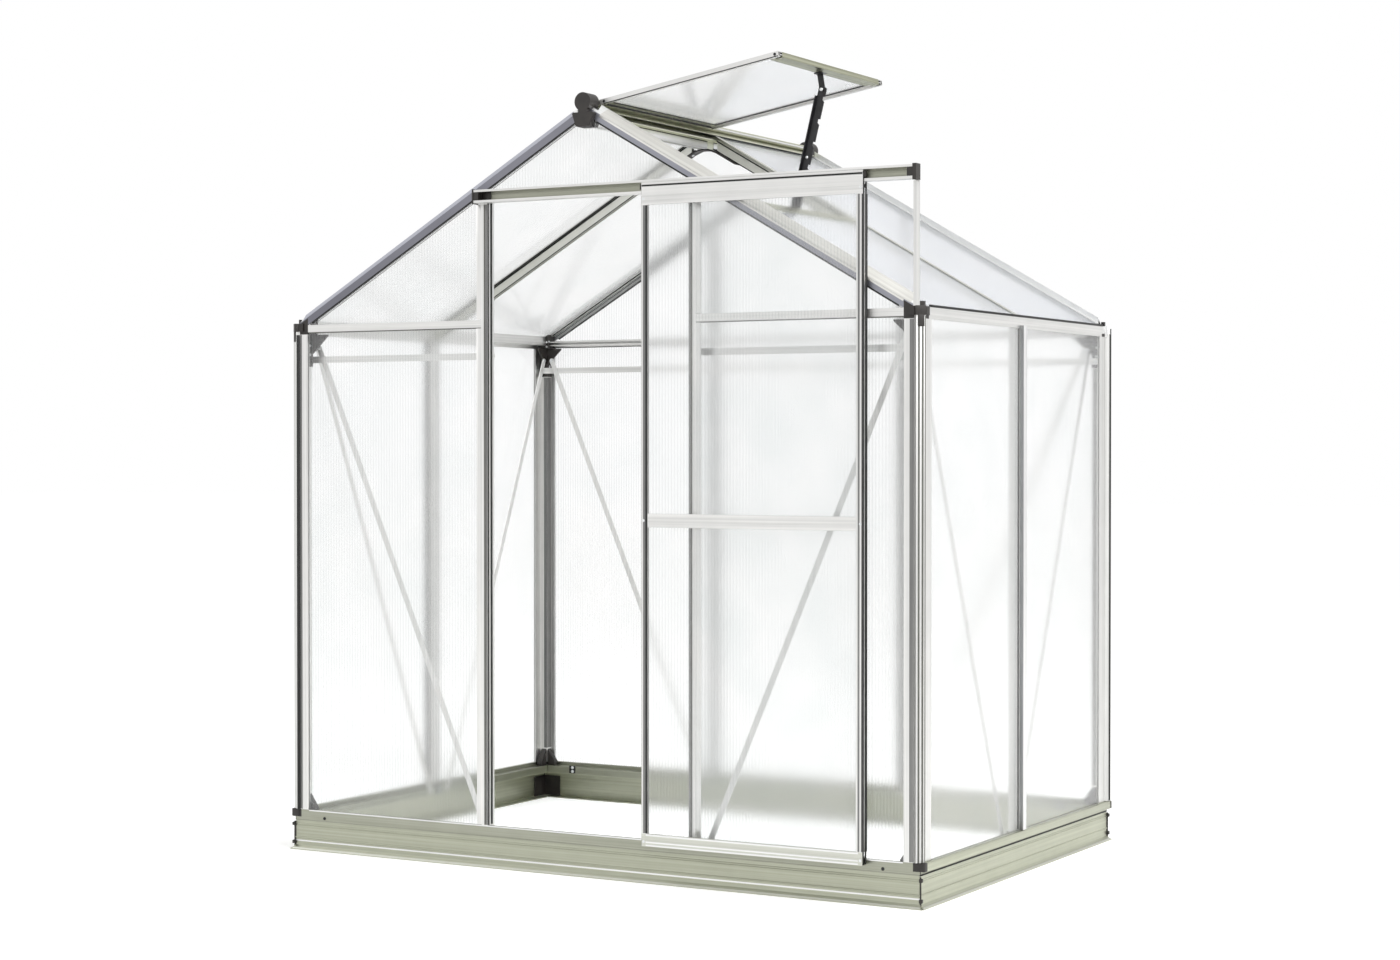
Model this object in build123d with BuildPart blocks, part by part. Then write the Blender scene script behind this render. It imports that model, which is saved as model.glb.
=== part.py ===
"""Small walk-in greenhouse: an aluminium frame on a base, glazed with flat sheet, with a sliding door
on a top rail and a roof vent that a notched stay holds open.

Millimetres. X runs along the front gable, Y from the front to the back, Z up. The origin is on the
ground, in the middle of the base. The door stands part open and the vent stands open.
"""

import os
from math import atan2, cos, degrees, hypot, radians, sin, sqrt, tan

from build123d import *

os.makedirs("parts", exist_ok=True)

# House
frame_width = 1900
frame_depth = 1260
base_height = 80
sill_height = 31
eaves_height = 1452
roof_pitch = 30
bay_width = 634

# Glazing and the extruded bars that hold it
panel_thick = 4
panel_play = 0.2
edge_play = 1
skin = 2
bar_width = 20
bar_depth = 36
slot_web = 4
channel_width = 14
channel_slot = 6.4

# Base rails
base_wall = 2.5
foot_lip = 12
foot_flange = 42
rib_height = 33
rib_radius = 2
top_rib_height = 66
top_rib_radius = 1.2
top_rib_pitch = 4.8
mitre_gap = 2.2
anchor_hole = 8.5
anchor_inset = 24
anchor_pitch = 1000
base_bracket_leg = 60
base_bracket_thick = 3
base_bracket_height = 62
base_lug = 6
base_lug_heights = (20, 70)

# Sill
sill_lip = 11
sill_block = 20
sill_block_chamfer = 9
sill_groove_depth = 1.2
sill_groove_height = 3
sill_step = 10
spigot_size = 8
spigot_height = 30

# Corner posts
post_size = 33
post_wing = 12
post_side_wing = 29
post_chamfer = 18
post_rib_radius = 1.2
post_rib_pitch = 7

# Eaves
eaves_slot = 11
eaves_lip_height = 28
bracket_size = 46
bracket_arm = 88
bracket_arm_thick = 3
bracket_arm_start = 10
cap_thick = 4
cap_gable_reach = 31
cap_side_reach = 20
cap_low = 20
cap_high = 2
end_block_width = 10
end_block_rise = 12
tongue_width = 16
tongue_length = 27
gusset_length = 52
rim_thick = 2.4
rim_low = 20
rim_high = 2
rim_seal = 4.5

# Gable bars and braces
tie_drop = 12
header_drop = 42.5
cross_bar_drop = 69
cross_bar_width = 18
cross_bar_thick = 2.5
brace_width = 16
brace_thick = 2
brace_top_drop = 38
brace_top_inset = 56
gable_foot_offset = 22
side_foot_offset = 42
bolt_diameter = 5
bolt_play = 0.2
nut_width = 9
nut_height = 4

# Roof
gable_tube = 26
gable_tube_depth = 12
gable_face = 24
gable_bevel_low = 6
gable_crest = 14
gable_flange = 10
ridge_seat_reach = 40
ridge_cover_reach = 34
ridge_seat_thick = 2.5
ridge_cover_play = 0.2
ridge_neck = 6
ridge_box = 15
ridge_drop = 55.5
ridge_slot = 8
rafter_top = 7
ridge_cap_thick = 16
ridge_cap_depth = 28
ridge_cap_head = 24
ridge_head_rise = 3.5
ridge_cap_neck = 13
ridge_cap_shoulder = 33
ridge_cap_foot = 20
ridge_cap_drop = 60.5
ridge_cap_body = 37
ridge_cap_round = 4
ridge_web = 4.5
ridge_spigot = 24
ridge_strap_reach = 100
ridge_strap_width = 30
ridge_strap_thick = 4

# Roof vent, its hinge and its stay
vent_open = 9.5
vent_length = 538
vent_gap = 2
hinge_x = 15
hinge_rise = 5.5
bead_radius = 5
bead_play = 0.2
socket_wall = 2
socket_margin = 3
neck_thick = 3
vent_top = 4.5
vent_bottom = -9.5
vent_lip = 4.5
vent_box = 10
vent_lip_reach = 12
hinge_bar_start = 8.5
hinge_bar_box = 7.5
drip_box = 18
drip_lip_reach = 22
vent_sill_start = 534
vent_sill_width = 32
vent_sill_box = 14
vent_sill_depth = 24
stay_pivot_s = 500
stay_pivot_v = -48.3
stay_thick = 3
stay_left = 9
stay_right = 14
stay_flange = 8
stay_flange_thick = 2.5
stay_tail = 24
stay_notch_pitch = 60
stay_notches = 6
stay_notch_depth = 6
stay_notch_above = 6.5
stay_notch_below = 3
stay_notch_ramp = 5
stay_hole = 5
stay_hole_up = 144
pivot_radius = 3
pivot_play = 0.05
pivot_head = 6
ear_width = 16
ear_thick = 3
stay_gap = 0.4
peg_radius = 2.2
peg_play = 0.3
peg_uphill = 8
peg_depth = 14
peg_ear_gap = 12
peg_ear_thick = 3
peg_ear_radius = 6

# Door and its rail
door_side_play = 5
door_open = 496
door_bottom = 98
door_head = 10
door_mid = 910
door_gap = 1.5
door_depth = 22
stile_width = 18
stile_box = 9
top_rail_height = 57
top_rail_box_low = 12
top_rail_box = 13
mid_rail_height = 35
mid_rail_slot = 11
bottom_rail_height = 32
bottom_rail_box = 20
door_rib = 1
track_over = 18
track_inset = 12
track_drop = 18
track_height = 35
track_depth = 24
track_low_lip = 7
track_high_lip = 6
track_cap_thick = 10
track_plug_thick = 4
track_cap_plug = 15
track_cap_over = 2
track_cap_play = 0.5
strut_width = 16
strut_thick = 3
roller_radius = 11
roller_width = 8
roller_play = 0.3
roller_bevel = 1
axle_radius = 3
axle_play = 0.05
hanger_length = 40
hanger_over = 6
hanger_height = 16
hanger_thick = 7.5
washer_radius = 5.5
washer_thick = 1
brush_width = 3
brush_depth = 4.5
glide_length = 40
glide_height = 12
glide_pitch = 400
glide_play = 0.5

# Sizes that follow from those above
half_width = frame_width / 2
half_depth = frame_depth / 2
sill_top = base_height + sill_height
sill_ledge = sill_top - sill_lip
panel_outer = skin + panel_play
panel_inner = panel_outer + panel_thick
slot_inner = panel_inner + panel_play
flange_depth = slot_inner + skin
bay_edge = bay_width / 2
panel_edge = slot_web / 2 + edge_play
bar_half = bar_width / 2
slope = radians(roof_pitch)
apex = eaves_height + half_width * tan(slope)
ridge_low = apex - ridge_drop
ridge_cap_low = apex - ridge_cap_drop
hinge_z = apex + hinge_rise
header_height = apex - bay_edge * tan(slope) - header_drop
door_width = bay_width - 2 * door_side_play
door_top = header_height + door_head
track_left = -bay_edge - track_over
track_right = half_width - track_inset
track_low = header_height - track_drop
tie_height = eaves_height - tie_drop
eaves_low = eaves_height - eaves_lip_height
eaves_ledge = eaves_low + eaves_slot
cross_bar_height = eaves_low - cross_bar_drop
cross_bar_depth = bar_depth
gable_brace_depth = bar_depth + cross_bar_thick
side_brace_depth = bar_depth
wall_run = {"front": frame_width, "right": frame_depth, "back": frame_width, "left": frame_depth}
wall_face = {
    "front": (Vector(0, -half_depth, 0), Vector(1, 0, 0)),
    "right": (Vector(half_width, 0, 0), Vector(0, 1, 0)),
    "back": (Vector(0, half_depth, 0), Vector(-1, 0, 0)),
    "left": (Vector(-half_width, 0, 0), Vector(0, -1, 0)),
}
up = Vector(0, 0, 1)


def keep(part, name):
    """Labels a finished piece and writes it."""
    part.label = name
    export_step(part, f"parts/{name}.step")


def plate(x0, x1, y0, y1, mode=Mode.ADD):
    """A straight wall of a profile, from corner to corner."""
    with Locations(((x0 + x1) / 2, (y0 + y1) / 2)):
        Rectangle(x1 - x0, y1 - y0, mode=mode)


def roof_z(x, depth=0):
    """Height of the roof's outer face at x, or of a plane that far inside it."""
    return eaves_height + (half_width - abs(x)) * tan(slope) - depth / cos(slope)


def level_plane(wall, along=0, height=0):
    """Level plane at a wall's outer face: X along the wall, Y into the house."""
    face, run = wall_face[wall]
    return Plane(face + run * along + up * height, x_dir=run, z_dir=up)


def section_plane(wall, along=0):
    """Plane across a wall: X from its outer face into the house, Y up."""
    face, run = wall_face[wall]
    return Plane(face + run * along, x_dir=up.cross(run), z_dir=run)


def cross_plane(wall, along, height):
    """Plane across a level bar: X up, Y into the house. It looks back along the wall."""
    face, run = wall_face[wall]
    return Plane(face + run * along + up * height, x_dir=up, z_dir=run * -1)


def face_plane(wall, depth):
    """Plane in a wall, that far inside its outer face: X along the wall, Y up, facing out."""
    face, run = wall_face[wall]
    return Plane(face + up.cross(run) * depth, x_dir=run, z_dir=run.cross(up))


def corner_plane(wall, height):
    """Level plane at the outer corner where a wall starts, with X and Y along the two walls."""
    face, run = wall_face[wall]
    return Plane(face - run * (wall_run[wall] / 2) + up * height, x_dir=run, z_dir=up)


def rafter_plane(side, inward, y):
    """Plane across a rafter: X along Y in the inward sense, Y from the roof's outer face down into it."""
    middle = side * half_width / 2
    return Plane(
        (middle, y, roof_z(middle)),
        x_dir=(0, inward, 0),
        z_dir=(-inward * cos(slope), 0, inward * side * sin(slope)),
    )


def roof_plane(y):
    """Plane along the right slope: X down the slope from the apex, Y into the roof."""
    return Plane((0, y, roof_z(0)), x_dir=(cos(slope), 0, -sin(slope)), z_dir=(0, 1, 0))


def draw_glazing_bar():
    """Bar with a sheet slot each side and a bolt channel inside: X across it, Y from its outer face."""
    plate(-bar_half, bar_half, 0, skin)
    plate(-slot_web / 2, slot_web / 2, skin, slot_inner)
    plate(-bar_half, bar_half, slot_inner, flange_depth)
    plate(-channel_width / 2, channel_width / 2, flange_depth, bar_depth)
    channel_half = channel_width / 2 - skin
    plate(-channel_half, channel_half, flange_depth + skin, bar_depth - skin, mode=Mode.SUBTRACT)
    plate(-channel_slot / 2, channel_slot / 2, bar_depth - skin, bar_depth, mode=Mode.SUBTRACT)


def draw_strap(start, end, width):
    """Flat strap with round ends and a bolt hole in each."""
    run = (end[0] - start[0], end[1] - start[1])
    with Locations(((start[0] + end[0]) / 2, (start[1] + end[1]) / 2)):
        SlotCenterToCenter(hypot(*run), width, rotation=degrees(atan2(run[1], run[0])))
    with Locations(start, end):
        Circle(bolt_diameter / 2 + bolt_play, mode=Mode.SUBTRACT)


# Ends of the braces and cross bars, in each wall's own X and Z
brace_top = eaves_low - brace_top_drop
brace_foot = sill_ledge - brace_width / 2
brace_ends = {}
for wall, run in wall_run.items():
    foot_x = bay_edge + gable_foot_offset if wall in ("front", "back") else side_foot_offset
    brace_ends[wall] = [
        ((side * (run / 2 - brace_top_inset), brace_top), (side * foot_x, brace_foot)) for side in (-1, 1)
    ]
cross_bar_outer = half_width - (post_size + bracket_arm_start) / 2
cross_bar_ends = {
    "front": [
        ((side * cross_bar_outer, cross_bar_height), (side * bay_edge, cross_bar_height))
        for side in (-1, 1)
    ],
    "back": [((-cross_bar_outer, cross_bar_height), (cross_bar_outer, cross_bar_height))],
}

# Base rails, mitred at the corners, with ground anchor holes in the side rails
for wall, run in wall_run.items():
    reach = run / 2 + foot_lip
    with BuildPart() as base_rail:
        with BuildSketch(section_plane(wall, -reach)):
            plate(0, base_wall, 0, base_height)
            plate(-foot_lip, foot_flange, 0, base_wall)
            plate(0, bar_depth, base_height - base_wall, base_height)
            with Locations((0, rib_height)):
                Circle(rib_radius)
            with Locations((0, top_rib_height), (0, top_rib_height + top_rib_pitch)):
                Circle(top_rib_radius)
        extrude(amount=2 * reach)
        with BuildSketch(level_plane(wall)):
            outer_end = reach - mitre_gap
            inner_end = run / 2 - foot_flange - mitre_gap
            Polygon(
                (-outer_end, -foot_lip),
                (outer_end, -foot_lip),
                (inner_end, foot_flange),
                (-inner_end, foot_flange),
                align=None,
            )
        extrude(amount=base_height, mode=Mode.INTERSECT)
        if wall in ("left", "right"):
            with BuildSketch(level_plane(wall)):
                with Locations((-anchor_pitch / 2, anchor_inset), (anchor_pitch / 2, anchor_inset)):
                    Circle(anchor_hole / 2)
            extrude(amount=base_wall, mode=Mode.SUBTRACT)
    keep(base_rail.part, f"base_rail_{wall}")

# Plastic corner brackets of the base: an angle inside and a fin in the mitre with two lugs outside
with BuildPart() as base_corner_brackets:
    for wall in wall_run:
        inner = base_wall + base_bracket_thick
        with BuildSketch(corner_plane(wall, base_wall)):
            plate(base_wall, base_wall + base_bracket_leg, base_wall, inner)
            plate(base_wall, inner, base_wall, base_wall + base_bracket_leg)
        extrude(amount=base_bracket_height)
        with BuildSketch(corner_plane(wall, base_wall)):
            fin_end = base_wall + base_bracket_thick / 2
            with Locations((fin_end / 2 - base_lug / 4, fin_end / 2 - base_lug / 4)):
                Rectangle(sqrt(2) * (fin_end + base_lug / 2), mitre_gap, rotation=45)
        extrude(amount=base_height - 2 * base_wall)
        for lug_height in base_lug_heights:
            with BuildSketch(corner_plane(wall, lug_height - base_lug / 2)):
                plate(-base_lug, -panel_play, -base_lug, -panel_play)
            extrude(amount=base_lug)
keep(base_corner_brackets.part, "base_corner_brackets")

# Sill: a hollow bar on the base with a sheet slot along its top, mitred and notched for the corner blocks
for wall, run in wall_run.items():
    outer_end = run / 2 - edge_play
    inner_end = outer_end - bar_depth
    block_middle = (run - sill_block) / 2
    with BuildPart() as sill:
        with BuildSketch(section_plane(wall, -run / 2)):
            plate(0, bar_depth, base_height, sill_ledge)
            plate(skin, bar_depth - skin, base_height + skin, sill_ledge - skin, mode=Mode.SUBTRACT)
            plate(0, skin, sill_ledge, sill_top)
            plate(slot_inner, flange_depth, sill_ledge, sill_top)
            plate(0, sill_groove_depth, base_height, base_height + sill_groove_height, mode=Mode.SUBTRACT)
        extrude(amount=run)
        with BuildSketch(level_plane(wall, height=base_height)):
            Polygon(
                (-outer_end, 0),
                (outer_end, 0),
                (inner_end, bar_depth),
                (-inner_end, bar_depth),
                align=None,
            )
        extrude(amount=sill_height, mode=Mode.INTERSECT)
        with BuildSketch(level_plane(wall, height=base_height + sill_step)):
            with Locations((-block_middle, sill_block / 2), (block_middle, sill_block / 2)):
                Rectangle(sill_block, sill_block)
        extrude(amount=sill_height - sill_step, mode=Mode.SUBTRACT)
        with BuildSketch(face_plane(wall, bar_depth)):
            with Locations([foot for top, foot in brace_ends[wall]]):
                Circle(bolt_diameter / 2 + bolt_play)
        extrude(amount=skin, mode=Mode.SUBTRACT)
    keep(sill.part, f"sill_{wall}")

# Plastic corner blocks of the sill, each with a spigot up into its post
with BuildPart() as sill_corner_blocks:
    for wall in wall_run:
        with BuildSketch(corner_plane(wall, base_height + sill_step)) as block_outline:
            plate(0, sill_block, 0, sill_block)
            chamfer(block_outline.vertices().sort_by(lambda v: v.X + v.Y)[0], sill_block_chamfer)
        extrude(amount=sill_height - sill_step)
        with BuildSketch(corner_plane(wall, sill_top)):
            spigot_start = sill_block - spigot_size - edge_play
            plate(spigot_start, sill_block - edge_play, spigot_start, sill_block - edge_play)
        extrude(amount=spigot_height)
keep(sill_corner_blocks.part, "sill_corner_blocks")

# Corner posts: a tube with a ribbed bevel outside and a sheet slot on each wall
corner_names = {"front": "front_left", "right": "front_right", "back": "back_right", "left": "back_left"}
for wall, corner in corner_names.items():
    wings = (post_side_wing, post_wing) if wall in ("left", "right") else (post_wing, post_side_wing)
    with BuildPart() as corner_post:
        with BuildSketch(corner_plane(wall, sill_top)):
            with BuildLine():
                Polyline(
                    (post_chamfer, 0),
                    (post_size, 0),
                    (post_size, post_size),
                    (0, post_size),
                    (0, post_chamfer),
                    close=True,
                )
            make_face()
            offset(amount=-skin, kind=Kind.INTERSECTION, mode=Mode.SUBTRACT)
            for near, far in ((0, skin), (slot_inner, flange_depth)):
                plate(post_size, post_size + wings[0], near, far)
                plate(near, far, post_size, post_size + wings[1])
            rib_step = post_rib_pitch / sqrt(2)
            rib_middle = post_chamfer / 2
            with Locations([(rib_middle + step, rib_middle - step) for step in (-rib_step, 0, rib_step)]):
                Circle(post_rib_radius)
        extrude(amount=eaves_low - sill_top)
    keep(corner_post.part, f"corner_post_{corner}")


def gable_stud(wall, along):
    """Upright bar of a gable, notched over the sill and cut to the roof's slope."""
    with BuildPart() as stud:
        with BuildSketch(level_plane(wall, along, base_height)):
            draw_glazing_bar()
        extrude(amount=apex - base_height)
        with BuildSketch(section_plane(wall, along - bar_width)):
            plate(0, bar_depth, sill_top, roof_z(0))
            plate(flange_depth, bar_depth, sill_ledge, sill_top)
        extrude(amount=2 * bar_width, mode=Mode.INTERSECT)
        with BuildSketch(face_plane(wall, bar_depth)):
            Polygon(
                (0, base_height),
                (0, roof_z(0, gable_face)),
                (half_width if along > 0 else -half_width, roof_z(half_width, gable_face)),
                (half_width if along > 0 else -half_width, base_height),
                align=None,
            )
        extrude(amount=bar_depth, mode=Mode.INTERSECT)
    return stud.part


# Door jambs and back studs
keep(gable_stud("front", -bay_edge), "door_jamb_left")
keep(gable_stud("front", bay_edge), "door_jamb_right")
with BuildPart() as back_studs:
    add(gable_stud("back", -bay_edge))
    add(gable_stud("back", bay_edge))
keep(back_studs.part, "back_studs")

# Studs in the middle of the side walls, notched over the sill and under the eaves beam
with BuildPart() as side_studs:
    for wall in ("left", "right"):
        with BuildSketch(level_plane(wall, 0, sill_top)):
            draw_glazing_bar()
        extrude(amount=eaves_low - sill_top)
        with BuildSketch(level_plane(wall, 0, sill_ledge)):
            draw_glazing_bar()
            plate(-bar_half, bar_half, 0, flange_depth, mode=Mode.SUBTRACT)
        extrude(amount=eaves_ledge - sill_ledge)
keep(side_studs.part, "side_studs")

# Eaves beams: hollow, with a sheet slot below, a sloping seat for the roof above and a rim outside
beam_half = half_depth - bracket_size
rim_top = eaves_height + rim_high
for wall in ("left", "right"):
    with BuildPart() as eaves_beam:
        with BuildSketch(section_plane(wall, -beam_half)):
            with BuildLine():
                Polyline(
                    (0, eaves_ledge),
                    (bar_depth, eaves_ledge),
                    (bar_depth, roof_z(half_width - bar_depth, flange_depth)),
                    (0, roof_z(half_width, flange_depth)),
                    close=True,
                )
            make_face()
            offset(amount=-skin, kind=Kind.INTERSECTION, mode=Mode.SUBTRACT)
            plate(0, skin, eaves_low, eaves_ledge)
            plate(slot_inner, flange_depth, eaves_low, eaves_ledge)
            plate(-rim_thick, 0, eaves_height - rim_low, rim_top)
        extrude(amount=2 * beam_half)
    keep(eaves_beam.part, f"eaves_beam_{wall}")

# Rubber seals between the roof sheets and the eaves beams, and an edge strip on each beam's rim
seal_reach = bar_width
with BuildPart() as eaves_seals:
    for wall in ("left", "right"):
        for start, end in ((-beam_half, -bar_half), (bar_half, beam_half)):
            with BuildSketch(section_plane(wall, start)):
                Polygon(
                    (0, roof_z(half_width, slot_inner)),
                    (seal_reach, roof_z(half_width - seal_reach, slot_inner)),
                    (seal_reach, roof_z(half_width - seal_reach, flange_depth)),
                    (0, roof_z(half_width, flange_depth)),
                    align=None,
                )
            extrude(amount=end - start)
        with BuildSketch(section_plane(wall, -beam_half)):
            plate(-rim_thick, 0, rim_top, rim_top + rim_seal)
        extrude(amount=2 * beam_half)
keep(eaves_seals.part, "eaves_seals")

# Plastic brackets at the eaves corners: a block under the roof, arms down the post, gussets for the
# braces, and a cap and tongue outside
with BuildPart() as eaves_corner_brackets:
    for wall in wall_run:
        inner_start = flange_depth + panel_play
        with BuildSketch(corner_plane(wall, eaves_low)):
            with BuildLine():
                Polyline(
                    (post_chamfer, 0),
                    (post_size, 0),
                    (post_size, post_size),
                    (0, post_size),
                    (0, post_chamfer),
                    close=True,
                )
            make_face()
            plate(inner_start, bracket_size, inner_start, bracket_size)
            plate(post_size, bracket_size, 0, skin)
            plate(0, skin, post_size, bracket_size)
            plate(0, inner_start, 0, inner_start, mode=Mode.SUBTRACT)
        extrude(amount=bracket_size)
    with BuildSketch(Plane.XZ):
        Polygon(
            (-half_width, eaves_low),
            (half_width, eaves_low),
            (half_width, roof_z(half_width, flange_depth)),
            (0, roof_z(0, flange_depth)),
            (-half_width, roof_z(half_width, flange_depth)),
            align=None,
        )
    extrude(amount=frame_depth, both=True, mode=Mode.INTERSECT)
    for wall in wall_run:
        arm_end = post_size + bracket_arm_thick
        with BuildSketch(corner_plane(wall, eaves_low - bracket_arm)):
            plate(post_size, arm_end, bracket_arm_start, arm_end)
            plate(bracket_arm_start, arm_end, post_size, arm_end)
        extrude(amount=bracket_arm)
        with BuildSketch(corner_plane(wall, eaves_height - cap_low)):
            bevel = post_chamfer - cap_thick * (sqrt(2) - 1)
            cap_outline = [
                (cap_gable_reach, 0),
                (post_chamfer, 0),
                (0, post_chamfer),
                (0, cap_side_reach),
                (-cap_thick, cap_side_reach),
                (-cap_thick, bevel),
                (bevel, -cap_thick),
                (cap_gable_reach, -cap_thick),
            ]
            if wall in ("right", "left"):
                cap_outline = [(across_gable, along_gable) for along_gable, across_gable in cap_outline]
            Polygon(*cap_outline, align=None)
        extrude(amount=cap_low + cap_high)
        with BuildSketch(corner_plane(wall, eaves_height - cap_low - tongue_length)):
            tongue_middle = post_chamfer / 2 - (post_rib_radius + panel_play + cap_thick / 2) / sqrt(2)
            with Locations((tongue_middle, tongue_middle)):
                Rectangle(tongue_width, cap_thick, rotation=-45)
        extrude(amount=tongue_length + cap_low)
        for stop, rise in ((post_chamfer - panel_play, 0), (end_block_width, end_block_rise)):
            with BuildSketch(corner_plane(wall, eaves_low)):
                end_block = [(stop, post_chamfer - stop), (stop, gable_tube), (0, gable_tube), (0, post_chamfer)]
                if wall in ("right", "left"):
                    end_block = [(across_gable, along_gable) for along_gable, across_gable in end_block]
                Polygon(*end_block, align=None)
            extrude(amount=eaves_lip_height + cap_high + rise)
    for wall, run in wall_run.items():
        depth = gable_brace_depth if wall in ("front", "back") else side_brace_depth
        with BuildSketch(face_plane(wall, depth)):
            for side in (-1, 1):
                corner_x = side * (run / 2 - post_size - bracket_arm_thick)
                Polygon(
                    (corner_x, eaves_low),
                    (corner_x - side * gusset_length, eaves_low),
                    (corner_x - side * gusset_length, eaves_low - 2 * skin),
                    (corner_x, eaves_low - gusset_length),
                    align=None,
                )
            with Locations([top for top, foot in brace_ends[wall]]):
                Circle(bolt_diameter / 2 + bolt_play, mode=Mode.SUBTRACT)
        extrude(amount=depth - post_size)
    for wall, ends in cross_bar_ends.items():
        with BuildSketch(face_plane(wall, cross_bar_depth)):
            with Locations([end for pair in ends for end in pair if abs(end[0]) > bay_edge]):
                Circle(bolt_diameter / 2 + bolt_play)
        extrude(amount=bracket_arm_thick, mode=Mode.SUBTRACT)
keep(eaves_corner_brackets.part, "eaves_corner_brackets")

# Level ties of the gables at the eaves, between the corner brackets and the studs
tie_outer = half_width - bracket_size
tie_inner = bay_edge + bar_half
tie_spans = {
    "front": [(-tie_outer, -tie_inner), (tie_inner, tie_outer)],
    "back": [(-tie_outer, -tie_inner), (-bay_edge + bar_half, bay_edge - bar_half), (tie_inner, tie_outer)],
}
with BuildPart() as gable_ties:
    for wall, spans in tie_spans.items():
        for start, end in spans:
            with BuildSketch(cross_plane(wall, end, tie_height)):
                draw_glazing_bar()
            extrude(amount=end - start)
keep(gable_ties.part, "gable_ties")

# Header over the doorway
header_half = bay_edge - bar_half
with BuildPart() as door_header:
    with BuildSketch(cross_plane("front", header_half, header_height)):
        draw_glazing_bar()
    extrude(amount=2 * header_half)
keep(door_header.part, "door_header")

# Cross bars of the gables, bolted inside the studs
with BuildPart() as cross_bars:
    for wall, ends in cross_bar_ends.items():
        with BuildSketch(face_plane(wall, cross_bar_depth + cross_bar_thick)):
            for start, end in ends:
                draw_strap(start, end, cross_bar_width)
            if wall == "back":
                with Locations((-bay_edge, cross_bar_height), (bay_edge, cross_bar_height)):
                    Circle(bolt_diameter / 2 + bolt_play, mode=Mode.SUBTRACT)
        extrude(amount=cross_bar_thick)
keep(cross_bars.part, "cross_bars")

# Diagonal braces, two in each wall, from the eaves brackets to the sill
with BuildPart() as wind_braces:
    for wall, ends in brace_ends.items():
        depth = gable_brace_depth if wall in ("front", "back") else side_brace_depth
        for top, foot in ends:
            with BuildSketch(face_plane(wall, depth + brace_thick)):
                draw_strap(top, foot, brace_width)
            extrude(amount=brace_thick)
keep(wind_braces.part, "wind_braces")


def wall_bolts(wall, points, start, end, spacer_start=None):
    """Bolts through a wall's bars, from start to end deep, each with a nut inside, some with a spacer."""
    with BuildPart() as bolts:
        with BuildSketch(face_plane(wall, end + nut_height)):
            with Locations(points):
                Circle(bolt_diameter / 2)
        extrude(amount=end + nut_height - start)
        with BuildSketch(face_plane(wall, end + nut_height)):
            with Locations(points):
                RegularPolygon(nut_width / 2, 6, major_radius=False)
        extrude(amount=nut_height)
        if spacer_start is not None:
            with BuildSketch(face_plane(wall, end - brace_thick)):
                with Locations(points):
                    Circle(nut_width / 2)
            extrude(amount=end - brace_thick - spacer_start)
    return bolts.part


# Bolts and nuts of the braces and cross bars
with BuildPart() as brace_bolts:
    for wall, ends in brace_ends.items():
        depth = gable_brace_depth if wall in ("front", "back") else side_brace_depth
        spacer_start = bar_depth if depth > bar_depth else None
        feet = [foot for top, foot in ends]
        tops = [top for top, foot in ends]
        add(wall_bolts(wall, feet, bar_depth - 2 * skin, depth + brace_thick, spacer_start))
        add(wall_bolts(wall, tops, post_size, depth + brace_thick))
    stud_points = [(-bay_edge, cross_bar_height), (bay_edge, cross_bar_height)]
    post_points = [(-cross_bar_outer, cross_bar_height), (cross_bar_outer, cross_bar_height)]
    for wall in cross_bar_ends:
        add(wall_bolts(wall, stud_points, bar_depth - 2 * skin, cross_bar_depth + cross_bar_thick))
        add(wall_bolts(wall, post_points, post_size, cross_bar_depth + cross_bar_thick))
keep(brace_bolts.part, "brace_bolts")


def draw_rafter_side(side, top_cope, foot_cope, foot):
    """Side view of a rafter: its sheet slots run from the ridge to its foot, the rest ends at the copes."""
    Polygon(
        (side * rafter_top, roof_z(rafter_top)),
        (side * foot, roof_z(foot)),
        (side * foot, roof_z(foot, flange_depth)),
        (side * foot_cope, roof_z(foot_cope, flange_depth)),
        (side * foot_cope, roof_z(foot_cope, bar_depth + skin)),
        (side * top_cope, roof_z(top_cope, bar_depth + skin)),
        (side * top_cope, roof_z(top_cope, flange_depth)),
        (side * rafter_top, roof_z(rafter_top, flange_depth)),
        align=None,
    )


def gable_rafter(side, inward):
    """Rafter of a gable: a bevelled tube with slots for the roof sheet inside and the gable sheet below."""
    foot = half_width - post_chamfer
    with BuildPart() as rafter:
        with BuildSketch(rafter_plane(side, inward, -inward * half_depth)):
            with BuildLine():
                Polyline(
                    (0, gable_bevel_low),
                    (gable_tube, -gable_crest),
                    (gable_tube, gable_tube_depth),
                    (0, gable_tube_depth),
                    close=True,
                )
            make_face()
            offset(amount=-skin, kind=Kind.INTERSECTION, mode=Mode.SUBTRACT)
            plate(gable_tube, gable_tube + gable_flange, 0, skin)
            plate(gable_tube, gable_tube + gable_flange, slot_inner, flange_depth)
            plate(0, skin, gable_tube_depth, gable_face)
            plate(slot_inner, flange_depth, gable_tube_depth, gable_face)
        extrude(amount=half_width, both=True)
        with BuildSketch(Plane.XZ):
            draw_rafter_side(side, rafter_top, half_width - bracket_size, foot)
            Polygon(
                (side * ridge_cap_shoulder, roof_z(ridge_cap_shoulder)),
                (side * ridge_cap_shoulder, roof_z(ridge_cap_shoulder, -gable_crest)),
                (side * foot, roof_z(foot, -gable_crest)),
                (side * foot, roof_z(foot)),
                align=None,
            )
        extrude(amount=frame_depth, both=True, mode=Mode.INTERSECT)
    return rafter.part


# Gable rafters
with BuildPart() as gable_rafters:
    for side in (-1, 1):
        for inward in (-1, 1):
            add(gable_rafter(side, inward))
keep(gable_rafters.part, "gable_rafters")

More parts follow.
